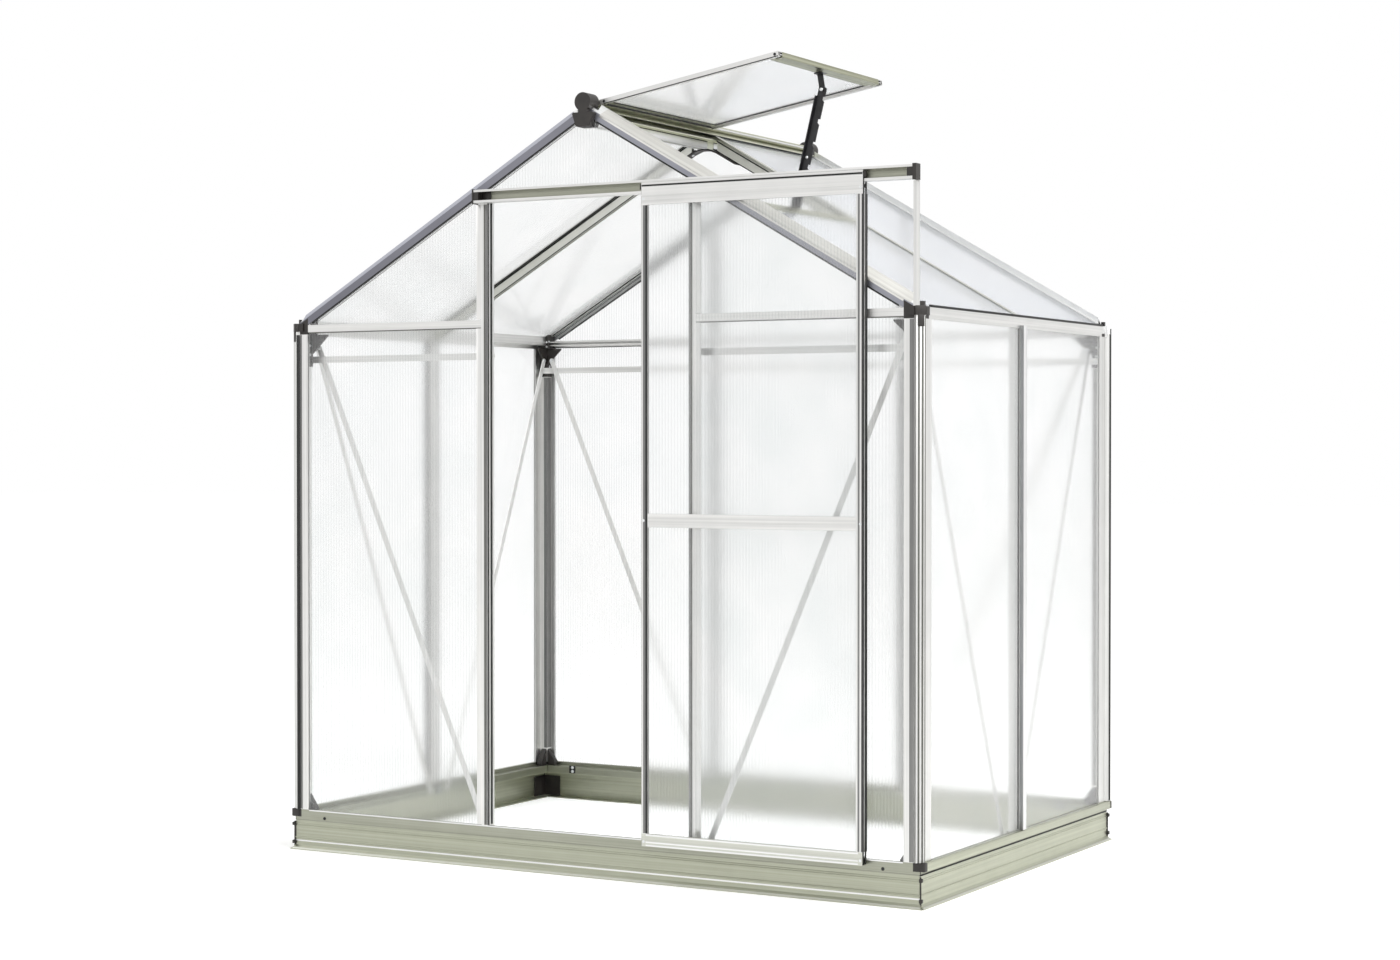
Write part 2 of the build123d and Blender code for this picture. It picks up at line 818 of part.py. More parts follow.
# Rafters in the middle of the roof
for side, name in ((-1, "mid_rafter_left"), (1, "mid_rafter_right")):
    with BuildPart() as mid_rafter:
        with BuildSketch(rafter_plane(side, 1, 0)):
            draw_glazing_bar()
        extrude(amount=half_width, both=True)
        with BuildSketch(Plane.XZ):
            draw_rafter_side(side, ridge_seat_reach + edge_play, half_width - bar_depth, half_width)
        extrude(amount=bar_width, both=True, mode=Mode.INTERSECT)
    keep(mid_rafter.part, name)

# Ridge beam: seats and covers for the roof, a box below, and a hinge socket along each side of its head
ridge_half = half_depth - ridge_cap_depth
socket_swing = degrees(atan2(neck_thick / 2, bead_radius)) + socket_margin
with BuildPart() as ridge_beam:
    with BuildSketch(Plane.XZ):
        seat_end = flange_depth + ridge_seat_thick
        Polygon(
            (0, roof_z(0, flange_depth)),
            (ridge_seat_reach, roof_z(ridge_seat_reach, flange_depth)),
            (ridge_seat_reach, roof_z(ridge_seat_reach, seat_end)),
            (0, roof_z(0, seat_end)),
            align=None,
        )
        Polygon(
            (0, roof_z(0, -ridge_cover_play)),
            (ridge_cover_reach, roof_z(ridge_cover_reach, -ridge_cover_play)),
            (ridge_cover_reach, roof_z(ridge_cover_reach, -ridge_cover_play - skin)),
            (0, roof_z(0, -ridge_cover_play - skin)),
            align=None,
        )
        plate(ridge_box - skin, ridge_box, ridge_low, roof_z(ridge_box, flange_depth + skin))
        plate(ridge_slot / 2, ridge_box, ridge_low, ridge_low + skin)
        socket_radius = bead_radius + bead_play + socket_wall
        plate(0, ridge_neck, roof_z(0, flange_depth + skin), hinge_z)
        plate(0, hinge_x - bead_radius - bead_play, hinge_z - bead_radius, hinge_z + bead_radius)
        with Locations((hinge_x, hinge_z)):
            Circle(socket_radius)
            Circle(bead_radius + bead_play, mode=Mode.SUBTRACT)
        swing_ends = (-roof_pitch - socket_swing, vent_open + socket_swing)
        swing_angles = (swing_ends[0], sum(swing_ends) / 2, swing_ends[1])
        mouth = [
            (hinge_x + 2 * socket_radius * cos(radians(a)), hinge_z + 2 * socket_radius * sin(radians(a)))
            for a in swing_angles
        ]
        Polygon((hinge_x, hinge_z), *mouth, align=None, mode=Mode.SUBTRACT)
        mirror(about=Plane.YZ)
    extrude(amount=ridge_half, both=True)
keep(ridge_beam.part, "ridge_beam")


def draw_ridge_cap():
    """Face of the ridge's end cap: a round head on a neck over a tapered body."""
    with BuildSketch(mode=Mode.PRIVATE) as body:
        Polygon(
            (-ridge_cap_foot, ridge_cap_low),
            (ridge_cap_foot, ridge_cap_low),
            (ridge_cap_shoulder, ridge_cap_low + ridge_cap_body),
            (-ridge_cap_shoulder, ridge_cap_low + ridge_cap_body),
            align=None,
        )
        fillet(body.vertices(), ridge_cap_round)
    add(body.sketch)
    plate(-ridge_cap_neck, ridge_cap_neck, ridge_cap_low + ridge_cap_body / 2, hinge_z)
    with Locations((0, ridge_head_z)):
        Circle(ridge_cap_head)


# Plastic end caps of the ridge: a face over the rafters, a head round the hinge and a block below
ridge_head_z = roof_z(0) + ridge_head_rise
under_tube = gable_tube_depth + panel_play
behind_legs = ridge_cap_depth - flange_depth - panel_play
with BuildPart() as ridge_end_caps:
    with BuildSketch(Plane.XZ.offset(half_depth)):
        draw_ridge_cap()
    extrude(amount=ridge_cap_thick)
    with BuildSketch(Plane.XZ.offset(ridge_half)):
        with Locations((0, ridge_head_z)):
            Circle(ridge_cap_head)
        Polygon(
            (-ridge_seat_reach, roof_z(ridge_seat_reach, -ridge_cover_play)),
            (0, roof_z(0, -ridge_cover_play)),
            (ridge_seat_reach, roof_z(ridge_seat_reach, -ridge_cover_play)),
            (0, ridge_cap_low),
            align=None,
            mode=Mode.SUBTRACT,
        )
    extrude(amount=ridge_cap_depth)
    with BuildSketch(Plane.XZ.offset(ridge_half)):
        plate(-ridge_web, ridge_web, ridge_cap_low, ridge_head_z)
        Polygon(
            (0, roof_z(0, under_tube)),
            (ridge_cap_shoulder, roof_z(ridge_cap_shoulder, under_tube)),
            (ridge_cap_foot, ridge_cap_low),
            (-ridge_cap_foot, ridge_cap_low),
            (-ridge_cap_shoulder, roof_z(ridge_cap_shoulder, under_tube)),
            align=None,
        )
    extrude(amount=behind_legs)
    with BuildSketch(Plane.XZ.offset(ridge_half - spigot_height)):
        spigot_low = ridge_low + skin + edge_play
        plate(-ridge_spigot / 2, ridge_spigot / 2, spigot_low, spigot_low + ridge_spigot)
    extrude(amount=spigot_height)
    mirror(about=Plane.XZ)
keep(ridge_end_caps.part, "ridge_end_caps")

# Plastic strap under the ridge that ties the two middle rafters
strap_end = bar_depth + ridge_strap_thick
strap_bend = ridge_seat_reach + edge_play
with BuildPart() as ridge_mid_strap:
    with BuildSketch(Plane.XZ):
        Polygon(
            (0, ridge_low),
            (ridge_box, ridge_low),
            (strap_bend, roof_z(strap_bend, bar_depth)),
            (ridge_strap_reach, roof_z(ridge_strap_reach, bar_depth)),
            (ridge_strap_reach, roof_z(ridge_strap_reach, strap_end)),
            (strap_bend, roof_z(strap_bend, strap_end)),
            (ridge_box, ridge_low - ridge_strap_thick),
            (0, ridge_low - ridge_strap_thick),
            align=None,
        )
        mirror(about=Plane.YZ)
    extrude(amount=ridge_strap_width / 2, both=True)
keep(ridge_mid_strap.part, "ridge_mid_strap")

# Wall sheets, each in the slots round it
post_edge = half_width - post_size - 2 * edge_play
bay_outer = bay_edge + panel_edge
bay_inner = bay_edge - panel_edge
sheet_low = sill_ledge + edge_play
below_tie = tie_height - panel_edge
above_tie = tie_height + panel_edge
gable_edge = gable_tube_depth + edge_play
peak_outer = half_width - bracket_size - edge_play


def draw_gable_sides():
    """The two lower sheets of a gable and the two that follow the roof above its ties."""
    for side in (-1, 1):
        sheet_left, sheet_right = sorted((side * bay_outer, side * post_edge))
        plate(sheet_left, sheet_right, sheet_low, below_tie)
        Polygon(
            (side * bay_outer, above_tie),
            (side * peak_outer, above_tie),
            (side * peak_outer, roof_z(peak_outer, gable_edge)),
            (side * bay_outer, roof_z(bay_outer, gable_edge)),
            align=None,
        )


def draw_gable_peak(low):
    """The middle sheet under the ridge, from the given height."""
    Polygon(
        (-bay_inner, low),
        (bay_inner, low),
        (bay_inner, roof_z(bay_inner, gable_edge)),
        (0, roof_z(0, gable_edge)),
        (-bay_inner, roof_z(bay_inner, gable_edge)),
        align=None,
    )


with BuildPart() as panels_front:
    with BuildSketch(face_plane("front", panel_inner)):
        draw_gable_sides()
        draw_gable_peak(header_height + panel_edge)
    extrude(amount=panel_thick)
keep(panels_front.part, "panels_front")

with BuildPart() as panels_back:
    with BuildSketch(face_plane("back", panel_inner)):
        draw_gable_sides()
        draw_gable_peak(above_tie)
        plate(-bay_inner, bay_inner, sheet_low, below_tie)
    extrude(amount=panel_thick)
keep(panels_back.part, "panels_back")

side_edge = half_depth - post_size - 2 * edge_play
for wall in ("left", "right"):
    with BuildPart() as side_panels:
        with BuildSketch(face_plane(wall, panel_inner)):
            plate(-side_edge, -panel_edge, sheet_low, eaves_ledge - edge_play)
            plate(panel_edge, side_edge, sheet_low, eaves_ledge - edge_play)
        extrude(amount=panel_thick)
    keep(side_panels.part, f"panels_{wall}")


def roof_sheet(side, top, y0, y1):
    """One roof sheet from its top edge to the eaves."""
    foot = half_width - edge_play
    with BuildPart() as sheet:
        with BuildSketch(Plane.XZ.offset(-y1)):
            Polygon(
                (side * top, roof_z(top, panel_outer)),
                (side * foot, roof_z(foot, panel_outer)),
                (side * foot, roof_z(foot, panel_inner)),
                (side * top, roof_z(top, panel_inner)),
                align=None,
            )
        extrude(amount=y1 - y0)
    return sheet.part


# Roof sheets. The front one on the right starts below the vent.
sheet_top = rafter_top + 2 * edge_play
sheet_end = half_depth - gable_tube - edge_play
below_vent = (vent_sill_start + vent_sill_box + 2 * edge_play) * cos(slope)
with BuildPart() as panels_roof_left:
    add(roof_sheet(-1, sheet_top, -sheet_end, -panel_edge))
    add(roof_sheet(-1, sheet_top, panel_edge, sheet_end))
keep(panels_roof_left.part, "panels_roof_left")
with BuildPart() as panels_roof_right:
    add(roof_sheet(1, below_vent, -sheet_end, -panel_edge))
    add(roof_sheet(1, sheet_top, panel_edge, sheet_end))
keep(panels_roof_right.part, "panels_roof_right")

# Sill bar under the vent's free edge, between the gable rafter and the middle one
vent_sill_front = -half_depth + gable_tube + gable_flange
with BuildPart() as vent_sill:
    with BuildSketch(roof_plane(vent_sill_front)):
        box_end = vent_sill_start + vent_sill_box
        plate(vent_sill_start, box_end, 0, vent_sill_depth)
        plate(vent_sill_start + skin, box_end - skin, skin, vent_sill_depth - skin, mode=Mode.SUBTRACT)
        plate(box_end, vent_sill_start + vent_sill_width, 0, skin)
        plate(box_end, vent_sill_start + vent_sill_width, slot_inner, flange_depth)
    extrude(amount=-bar_half - vent_sill_front)
keep(vent_sill.part, "vent_sill")

# Vent, drawn open: S runs from the hinge to the free edge, V up through it
vent_front = -ridge_half + vent_gap
vent_back = -vent_gap
stay_y = (vent_front + vent_back) / 2
vent_run = Vector(cos(radians(vent_open)), 0, sin(radians(vent_open)))
vent_up = Vector(-sin(radians(vent_open)), 0, cos(radians(vent_open)))
hinge = Vector(hinge_x, 0, hinge_z)
side_bar = vent_box + vent_lip_reach
sheet_half = panel_thick / 2
slot_half = sheet_half + panel_play
across = Vector(0, 1, 0)


def vent_plane(y):
    """Plane along the vent: X is S, Y is V, facing the front."""
    return Plane(hinge + across * y, x_dir=vent_run, z_dir=across * -1)


def draw_vent_bar(box_start, box_end, lip_end):
    """Hollow bar of the vent with two lips that hold the sheet."""
    plate(box_start, box_end, vent_bottom, vent_top)
    plate(box_start + skin, box_end - skin, vent_bottom + skin, vent_top - skin, mode=Mode.SUBTRACT)
    lip = sorted((box_start if lip_end < box_start else box_end, lip_end))
    plate(*lip, slot_half, vent_lip)
    plate(*lip, -vent_lip, -slot_half)


hinge_box_end = hinge_bar_start + hinge_bar_box
bar_front = vent_front + side_bar
bar_back = vent_back - side_bar
with BuildPart() as vent_hinge_bar:
    with BuildSketch(vent_plane(bar_back)):
        draw_vent_bar(hinge_bar_start, hinge_box_end, hinge_box_end + vent_lip_reach)
        plate(0, hinge_bar_start, -neck_thick / 2, neck_thick / 2)
        Circle(bead_radius)
    extrude(amount=bar_back - bar_front)
keep(vent_hinge_bar.part, "vent_hinge_bar")

drip_start = vent_length - drip_box
with BuildPart() as vent_drip_bar:
    with BuildSketch(vent_plane(bar_back)):
        draw_vent_bar(drip_start, vent_length, drip_start - drip_lip_reach)
    extrude(amount=bar_back - bar_front)
keep(vent_drip_bar.part, "vent_drip_bar")

with BuildPart() as vent_side_bars:
    bar_start = hinge + vent_run * hinge_bar_start
    with BuildSketch(Plane(bar_start + across * vent_front, x_dir=across, z_dir=vent_run)):
        draw_vent_bar(0, vent_box, side_bar)
    extrude(amount=vent_length - hinge_bar_start)
    mirror(about=Plane.XZ.offset(-stay_y))
keep(vent_side_bars.part, "vent_side_bars")

with BuildPart() as vent_pane:
    with BuildSketch(vent_plane(vent_back - vent_box - edge_play)):
        plate(hinge_box_end + edge_play, drip_start - edge_play, -sheet_half, sheet_half)
    extrude(amount=vent_back - vent_front - 2 * (vent_box + edge_play))
keep(vent_pane.part, "vent_pane")

# Bracket under the vent's drip bar with the pin that the stay swings on
ear_start = stay_thick / 2 + stay_gap
with BuildPart() as vent_stay_bracket:
    foot_start = stay_pivot_s - ear_width / 2
    with BuildSketch(vent_plane(stay_y + ear_width)):
        plate(foot_start, drip_start - edge_play, -vent_lip - ear_thick, -vent_lip)
    extrude(amount=2 * ear_width)
    with BuildSketch(vent_plane(stay_y + ear_start + ear_thick)):
        plate(foot_start, foot_start + ear_width, stay_pivot_v, -vent_lip)
        with Locations((stay_pivot_s, stay_pivot_v)):
            Circle(ear_width / 2)
    extrude(amount=ear_thick)
    with BuildSketch(vent_plane(stay_y + ear_start)):
        with Locations((stay_pivot_s, stay_pivot_v)):
            Circle(pivot_radius)
    extrude(amount=2 * ear_start)
    with BuildSketch(vent_plane(stay_y - ear_start)):
        with Locations((stay_pivot_s, stay_pivot_v)):
            Circle(pivot_head)
    extrude(amount=skin)
keep(vent_stay_bracket.part, "vent_stay_bracket")

# Peg for the stay's notches, in two ears on the vent's sill bar
peg_run = vent_sill_start - peg_uphill
peg_ear_ends = (peg_depth - peg_ear_radius, peg_depth + peg_ear_radius)
with BuildPart() as vent_stay_peg:
    for near in (-peg_ear_gap / 2 - peg_ear_thick, peg_ear_gap / 2):
        with BuildSketch(roof_plane(stay_y + near)):
            plate(peg_run, vent_sill_start, *peg_ear_ends)
            with Locations((peg_run, peg_depth)):
                Circle(peg_ear_radius)
        extrude(amount=peg_ear_thick)
    peg_start = stay_y - peg_ear_gap / 2 - peg_ear_thick
    with BuildSketch(roof_plane(peg_start)):
        plate(vent_sill_start - skin, vent_sill_start, *peg_ear_ends)
        with Locations((peg_run, peg_depth)):
            Circle(peg_radius)
    extrude(amount=peg_ear_gap + 2 * peg_ear_thick)
keep(vent_stay_peg.part, "vent_stay_peg")

# Stay: a notched arm that hangs from the bracket and rests with its last notch on the peg
peg_x = peg_run * cos(slope) - peg_depth * sin(slope)
peg = Vector(peg_x, 0, apex - peg_run * sin(slope) - peg_depth * cos(slope))
pivot = hinge + vent_run * stay_pivot_s + vent_up * stay_pivot_v
peg_offset = stay_right - stay_notch_depth + peg_play + peg_radius
reach = (peg - pivot).length
seat = sqrt(reach**2 - peg_offset**2)
stay_angle = atan2(peg.Z - pivot.Z, peg.X - pivot.X) - atan2(peg_offset, seat)
stay_run = Vector(cos(stay_angle), 0, sin(stay_angle))
stay_end = seat + stay_tail
with BuildPart() as vent_stay_arm:
    stay_back = Plane(pivot + across * (stay_y + stay_thick / 2), x_dir=stay_run, z_dir=across * -1)
    with BuildSketch(stay_back) as arm_outline:
        plate(-pivot_head - edge_play, stay_end, -stay_left, stay_right)
        fillet(arm_outline.vertices(), stay_left / 2)
        for n in range(stay_notches):
            notch = seat - n * stay_notch_pitch
            Polygon(
                (notch - stay_notch_above, stay_right),
                (notch - stay_notch_above, stay_right - stay_notch_depth),
                (notch + stay_notch_below, stay_right - stay_notch_depth),
                (notch + stay_notch_below + stay_notch_ramp, stay_right),
                align=None,
                mode=Mode.SUBTRACT,
            )
        Circle(pivot_radius + pivot_play, mode=Mode.SUBTRACT)
        with Locations((seat - stay_hole_up, 0)):
            Circle(stay_hole / 2, mode=Mode.SUBTRACT)
    extrude(amount=stay_thick)
    with BuildSketch(stay_back):
        plate(2 * stay_left, stay_end - stay_left, -stay_left - stay_flange_thick, -stay_left)
    extrude(amount=stay_thick + stay_flange)
keep(vent_stay_arm.part, "vent_stay_arm")

# Door rail: a channel on the front of the jambs, open to the front
door_face = track_depth + door_gap + skin


def track_plane(x):
    """Plane across the door rail: X out from the front wall, Y up. It looks to the left."""
    return Plane((x, -half_depth, 0), x_dir=(0, -1, 0), z_dir=(-1, 0, 0))


def door_plane(x):
    """Plane across a level bar of the door: X from the door's front face into the house, Y up."""
    return Plane((x, -half_depth - door_face, 0), x_dir=(0, 1, 0), z_dir=(1, 0, 0))


track_top = track_low + track_height
with BuildPart() as door_rail:
    with BuildSketch(track_plane(track_right)):
        plate(0, skin, track_low, track_top)
        plate(0, track_depth, track_low, track_low + skin)
        plate(0, track_depth, track_top - skin, track_top)
        plate(track_depth - skin, track_depth, track_low, track_low + track_low_lip)
        plate(track_depth - skin, track_depth, track_top - track_high_lip, track_top)
    extrude(amount=track_right - track_left)
keep(door_rail.part, "door_rail")

# Plastic caps at the rail's ends, each with a plug in the channel
with BuildPart() as door_rail_end_caps:
    for cap_right, thick, plug_right in (
        (track_left, track_plug_thick, track_left + track_cap_plug),
        (track_right + track_cap_thick, track_cap_thick, track_right),
    ):
        with BuildSketch(track_plane(cap_right)):
            plate(
                panel_play,
                track_depth + track_cap_over / 2,
                track_low - track_cap_over,
                track_top + track_cap_over,
            )
        extrude(amount=thick)
        with BuildSketch(track_plane(plug_right)):
            inside = skin + track_cap_play
            plate(inside, track_depth - inside, track_low + inside, track_top - inside)
            plate(
                inside,
                track_depth,
                track_low + track_low_lip + track_cap_play,
                track_top - track_high_lip - track_cap_play,
            )
        extrude(amount=track_cap_plug)
keep(door_rail_end_caps.part, "door_rail_end_caps")

# Strut that carries the rail's free end: it stands on the corner bracket, under the rail's end cap
with BuildPart() as door_rail_strut:
    with BuildSketch(track_plane(track_right + track_cap_thick - edge_play)):
        strut_front = panel_play + strut_thick
        plate(panel_play, strut_front, eaves_height + cap_high, track_low - track_cap_over)
    extrude(amount=strut_width)
keep(door_rail_strut.part, "door_rail_strut")

# Door, drawn part open
door_left = door_open - door_width / 2
door_right = door_open + door_width / 2
top_rail_low = door_top - top_rail_height
bottom_rail_top = door_bottom + bottom_rail_height
with BuildPart() as door_stiles:
    with BuildSketch(Plane((door_left, -half_depth - door_face, bottom_rail_top))):
        plate(0, stile_width, 0, skin)
        plate(0, stile_box, 0, door_depth)
        plate(skin, stile_box - skin, skin, door_depth - skin, mode=Mode.SUBTRACT)
        plate(stile_box, stile_width, slot_inner, flange_depth)
    extrude(amount=top_rail_low - bottom_rail_top)
    mirror(about=Plane.YZ.offset(door_open))
keep(door_stiles.part, "door_stiles")

with BuildPart() as door_top_rail:
    with BuildSketch(door_plane(door_left)):
        box_low = top_rail_low + top_rail_box_low
        box_top = box_low + top_rail_box
        plate(0, skin, top_rail_low, door_top)
        plate(0, door_depth, box_low, box_top)
        plate(skin, door_depth - skin, box_low + skin, box_top - skin, mode=Mode.SUBTRACT)
        plate(slot_inner, flange_depth, top_rail_low, box_low)
        for rib_low in (box_low, box_top, door_top - 2 * skin):
            plate(-door_rib, 0, rib_low - skin, rib_low)
    extrude(amount=door_width)
keep(door_top_rail.part, "door_top_rail")

with BuildPart() as door_mid_rail:
    with BuildSketch(door_plane(door_left + stile_width)):
        mid_top = door_mid + mid_rail_height
        plate(0, skin, door_mid, mid_top)
        plate(0, door_depth, door_mid + mid_rail_slot, mid_top - mid_rail_slot)
        hollow = mid_rail_slot + skin
        plate(skin, door_depth - skin, door_mid + hollow, mid_top - hollow, mode=Mode.SUBTRACT)
        plate(slot_inner, flange_depth, door_mid, mid_top)
        plate(-door_rib, 0, door_mid + mid_rail_slot, door_mid + mid_rail_slot + skin)
        plate(-door_rib, 0, mid_top - mid_rail_slot - skin, mid_top - mid_rail_slot)
    extrude(amount=door_width - 2 * stile_width)
keep(door_mid_rail.part, "door_mid_rail")

with BuildPart() as door_bottom_rail:
    with BuildSketch(door_plane(door_left)):
        box_top = door_bottom + bottom_rail_box
        plate(0, skin, door_bottom, bottom_rail_top)
        plate(0, door_depth, door_bottom, box_top)
        plate(skin, door_depth - skin, door_bottom + skin, box_top - skin, mode=Mode.SUBTRACT)
        plate(slot_inner, flange_depth, box_top, bottom_rail_top)
        plate(-door_rib, 0, box_top - skin, box_top)
    extrude(amount=door_width)
keep(door_bottom_rail.part, "door_bottom_rail")

with BuildPart() as door_panes:
    pane_inset = stile_box + edge_play
    with BuildSketch(Plane.XZ.offset(half_depth + door_face - panel_inner)):
        low_pane = (door_bottom + bottom_rail_box + edge_play, door_mid + mid_rail_slot)
        high_pane = (mid_top - mid_rail_slot + edge_play, top_rail_low + top_rail_box_low)
        for pane_low, pane_top in (low_pane, high_pane):
            plate(door_left + pane_inset, door_right - pane_inset, pane_low, pane_top - edge_play)
    extrude(amount=panel_thick)
keep(door_panes.part, "door_panes")

# Brush strips on the backs of the stiles
door_back = -half_depth - door_face + door_depth
with BuildPart() as door_brushes:
    with BuildSketch(Plane((door_left, door_back, bottom_rail_top))):
        plate(0, brush_width, 0, brush_depth)
    extrude(amount=top_rail_low - bottom_rail_top)
    mirror(about=Plane.YZ.offset(door_open))
keep(door_brushes.part, "door_brushes")

# Glides that keep the door's foot off the sill
with BuildPart() as door_glides:
    with BuildSketch(Plane.XZ.offset(half_depth + glide_play)):
        with GridLocations(glide_pitch, 0, 2, 1):
            with Locations((door_open, door_bottom + bottom_rail_box / 2)):
                Rectangle(glide_length, glide_height)
    extrude(amount=door_face - door_depth - glide_play)
keep(door_glides.part, "door_glides")

# Hangers on the door's top rail, each with the axle of a roller
axle_z = track_low + skin + roller_radius + roller_play
hanger_front = half_depth + door_face - skin
hanger_back = hanger_front - hanger_thick
roller_front = hanger_back - roller_play
axle_end = roller_front - roller_width - roller_play
hanger_middle = door_right + hanger_over - hanger_length / 2
hanger_z = track_low + (track_low_lip + track_height - track_high_lip) / 2
with BuildPart() as door_hangers:
    with BuildSketch(Plane.XZ.offset(hanger_back)) as hanger_outline:
        with Locations((hanger_middle, hanger_z)):
            Rectangle(hanger_length, hanger_height)
        fillet(hanger_outline.vertices(), skin)
    extrude(amount=hanger_thick)
    with BuildSketch(Plane.XZ.offset(axle_end - washer_thick)):
        with Locations((hanger_middle, axle_z)):
            Circle(axle_radius)
    extrude(amount=hanger_back - axle_end + washer_thick)
    with BuildSketch(Plane.XZ.offset(axle_end - washer_thick)):
        with Locations((hanger_middle, axle_z)):
            Circle(washer_radius)
    extrude(amount=washer_thick)
    mirror(about=Plane.YZ.offset(door_open))
keep(door_hangers.part, "door_hangers")

# Rollers in the rail, with bevelled rims
for name, middle in (
    ("door_roller_left", 2 * door_open - hanger_middle),
    ("door_roller_right", hanger_middle),
):
    with BuildPart() as roller:
        with BuildSketch(Plane((middle, -roller_front, axle_z), x_dir=(0, 1, 0), z_dir=(1, 0, 0))):
            Polygon(
                (0, axle_radius + axle_play),
                (roller_width, axle_radius + axle_play),
                (roller_width, roller_radius - roller_bevel),
                (roller_width - roller_bevel, roller_radius),
                (roller_bevel, roller_radius),
                (0, roller_radius - roller_bevel),
                align=None,
            )
        revolve(axis=Axis((middle, 0, axle_z), (0, 1, 0)))
    keep(roller.part, name)
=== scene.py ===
from math import atan2, cos, pi, radians, sin, sqrt, tan

import bmesh
import bpy
from mathutils import Matrix, Vector


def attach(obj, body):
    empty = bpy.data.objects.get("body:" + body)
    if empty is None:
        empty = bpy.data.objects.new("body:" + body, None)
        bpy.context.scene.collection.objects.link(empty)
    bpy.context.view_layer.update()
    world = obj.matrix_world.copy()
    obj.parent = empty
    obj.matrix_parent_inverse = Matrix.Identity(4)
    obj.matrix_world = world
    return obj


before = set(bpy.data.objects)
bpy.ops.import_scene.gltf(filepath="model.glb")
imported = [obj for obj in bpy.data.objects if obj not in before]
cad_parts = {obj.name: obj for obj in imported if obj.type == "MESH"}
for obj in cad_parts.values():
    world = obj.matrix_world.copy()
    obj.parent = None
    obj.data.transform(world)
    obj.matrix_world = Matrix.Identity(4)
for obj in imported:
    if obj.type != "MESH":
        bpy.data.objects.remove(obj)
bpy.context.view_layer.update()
scene = bpy.context.scene

# Sizes of the house in millimetres, as in its construction
MM = 0.001
half_width = 950
half_depth = 630
base_height = 80
sill_ledge = 100
sill_top = 111
eaves_low = 1424
eaves_height = 1452
slope = radians(30)
apex = eaves_height + half_width * tan(slope)
bay_edge = 317
tie_height = 1440
tie_half = 10
header_height = 1774.96
header_half = 11
jamb_top = 1755
stud_top = 1778
bar_half = 10
web_half = 7
flange_depth = 8.4
bar_depth = 36
post_size = 33
post_bevel = 18
bracket_size = 46
bracket_arm_end = 36
rafter_inner = 26
rafter_depth = 24
ridge_half = 602
ridge_low = apex - 55.5
ridge_box_half = 15
hinge_height = apex + 5.5
vent_hinge = Vector((15, 0, hinge_height))
vent_open = radians(9.5)
vent_length = 538
vent_front = 600
vent_back = 2
hinge_box_end = 16
drip_start = vent_length - 18
door_middle = 496
door_half = 312
door_face = -657.5
door_bottom = 98
door_top = 1784.96
top_rail_low = 1727.96
mid_rail = (910, 945)
bottom_rail_top = 130
rail_low = 1756.96
rail_top = 1791.96
rail_left = -335
rail_right = 938
stay_across = -301
stay_pivot = (500, -48.3)
stay_hole_up = 144
peg_run = 526
peg_depth = 14
peg_offset = 10.5


def linear(hex_colour):
    """sRGB hex to the linear colour that a shader takes."""
    parts = [int(hex_colour[i : i + 2], 16) / 255 for i in (1, 3, 5)]
    return (*[p / 12.92 if p <= 0.04045 else ((p + 0.055) / 1.055) ** 2.4 for p in parts], 1)


def add_node(tree, kind, inputs=None, **settings):
    """Adds a node with its settings, and its inputs as values or as links from other nodes' sockets."""
    made = tree.nodes.new(kind)
    for name, value in settings.items():
        setattr(made, name, value)
    for socket, value in (inputs or {}).items():
        if isinstance(value, bpy.types.NodeSocket):
            tree.links.new(value, made.inputs[socket])
        else:
            made.inputs[socket].default_value = value
    return made


def new_material(name):
    """An empty material and its node tree."""
    material = bpy.data.materials.new(name)
    material.use_nodes = True
    material.node_tree.nodes.clear()
    return material, material.node_tree


def blend_tones(tree, value, tones):
    """Blends two tones along a pattern's value, each given with the value at which it is pure."""
    made = add_node(tree, "ShaderNodeValToRGB", {"Fac": value})
    for stop, (place, colour) in zip(made.color_ramp.elements, tones):
        stop.position = place
        stop.color = linear(colour)
    return made.outputs["Color"]


def split_tones(tree, value, limit, below, above):
    """One colour below a limit and another above it."""
    past = add_node(tree, "ShaderNodeMath", {0: value, 1: limit}, operation="GREATER_THAN")
    mixed = add_node(
        tree, "ShaderNodeMix", {0: past.outputs["Value"], 6: below, 7: above}, data_type="RGBA"
    )
    return mixed.outputs[2]


# Extruded aluminium is a satin silver with die lines along each bar and a faint cloud of handling marks. The
# real lines are a few tenths of a millimetre apart and are drawn 5 mm apart, so that they show.
die_line_mm = 5
die_line_length_mm = 900
handling_mark_mm = 70
# Depth from a gable's outer plane within which its faces take painted shade
shaded_face_mm = 1.5
STREAK_SCALE = {
    "x": (1 / die_line_length_mm, 1 / die_line_mm, 1 / die_line_mm),
    "y": (1 / die_line_mm, 1 / die_line_length_mm, 1 / die_line_mm),
    "z": (1 / die_line_mm, 1 / die_line_mm, 1 / die_line_length_mm),
    "slope": (1 / die_line_length_mm, 1 / die_line_mm, 1 / die_line_length_mm),
}


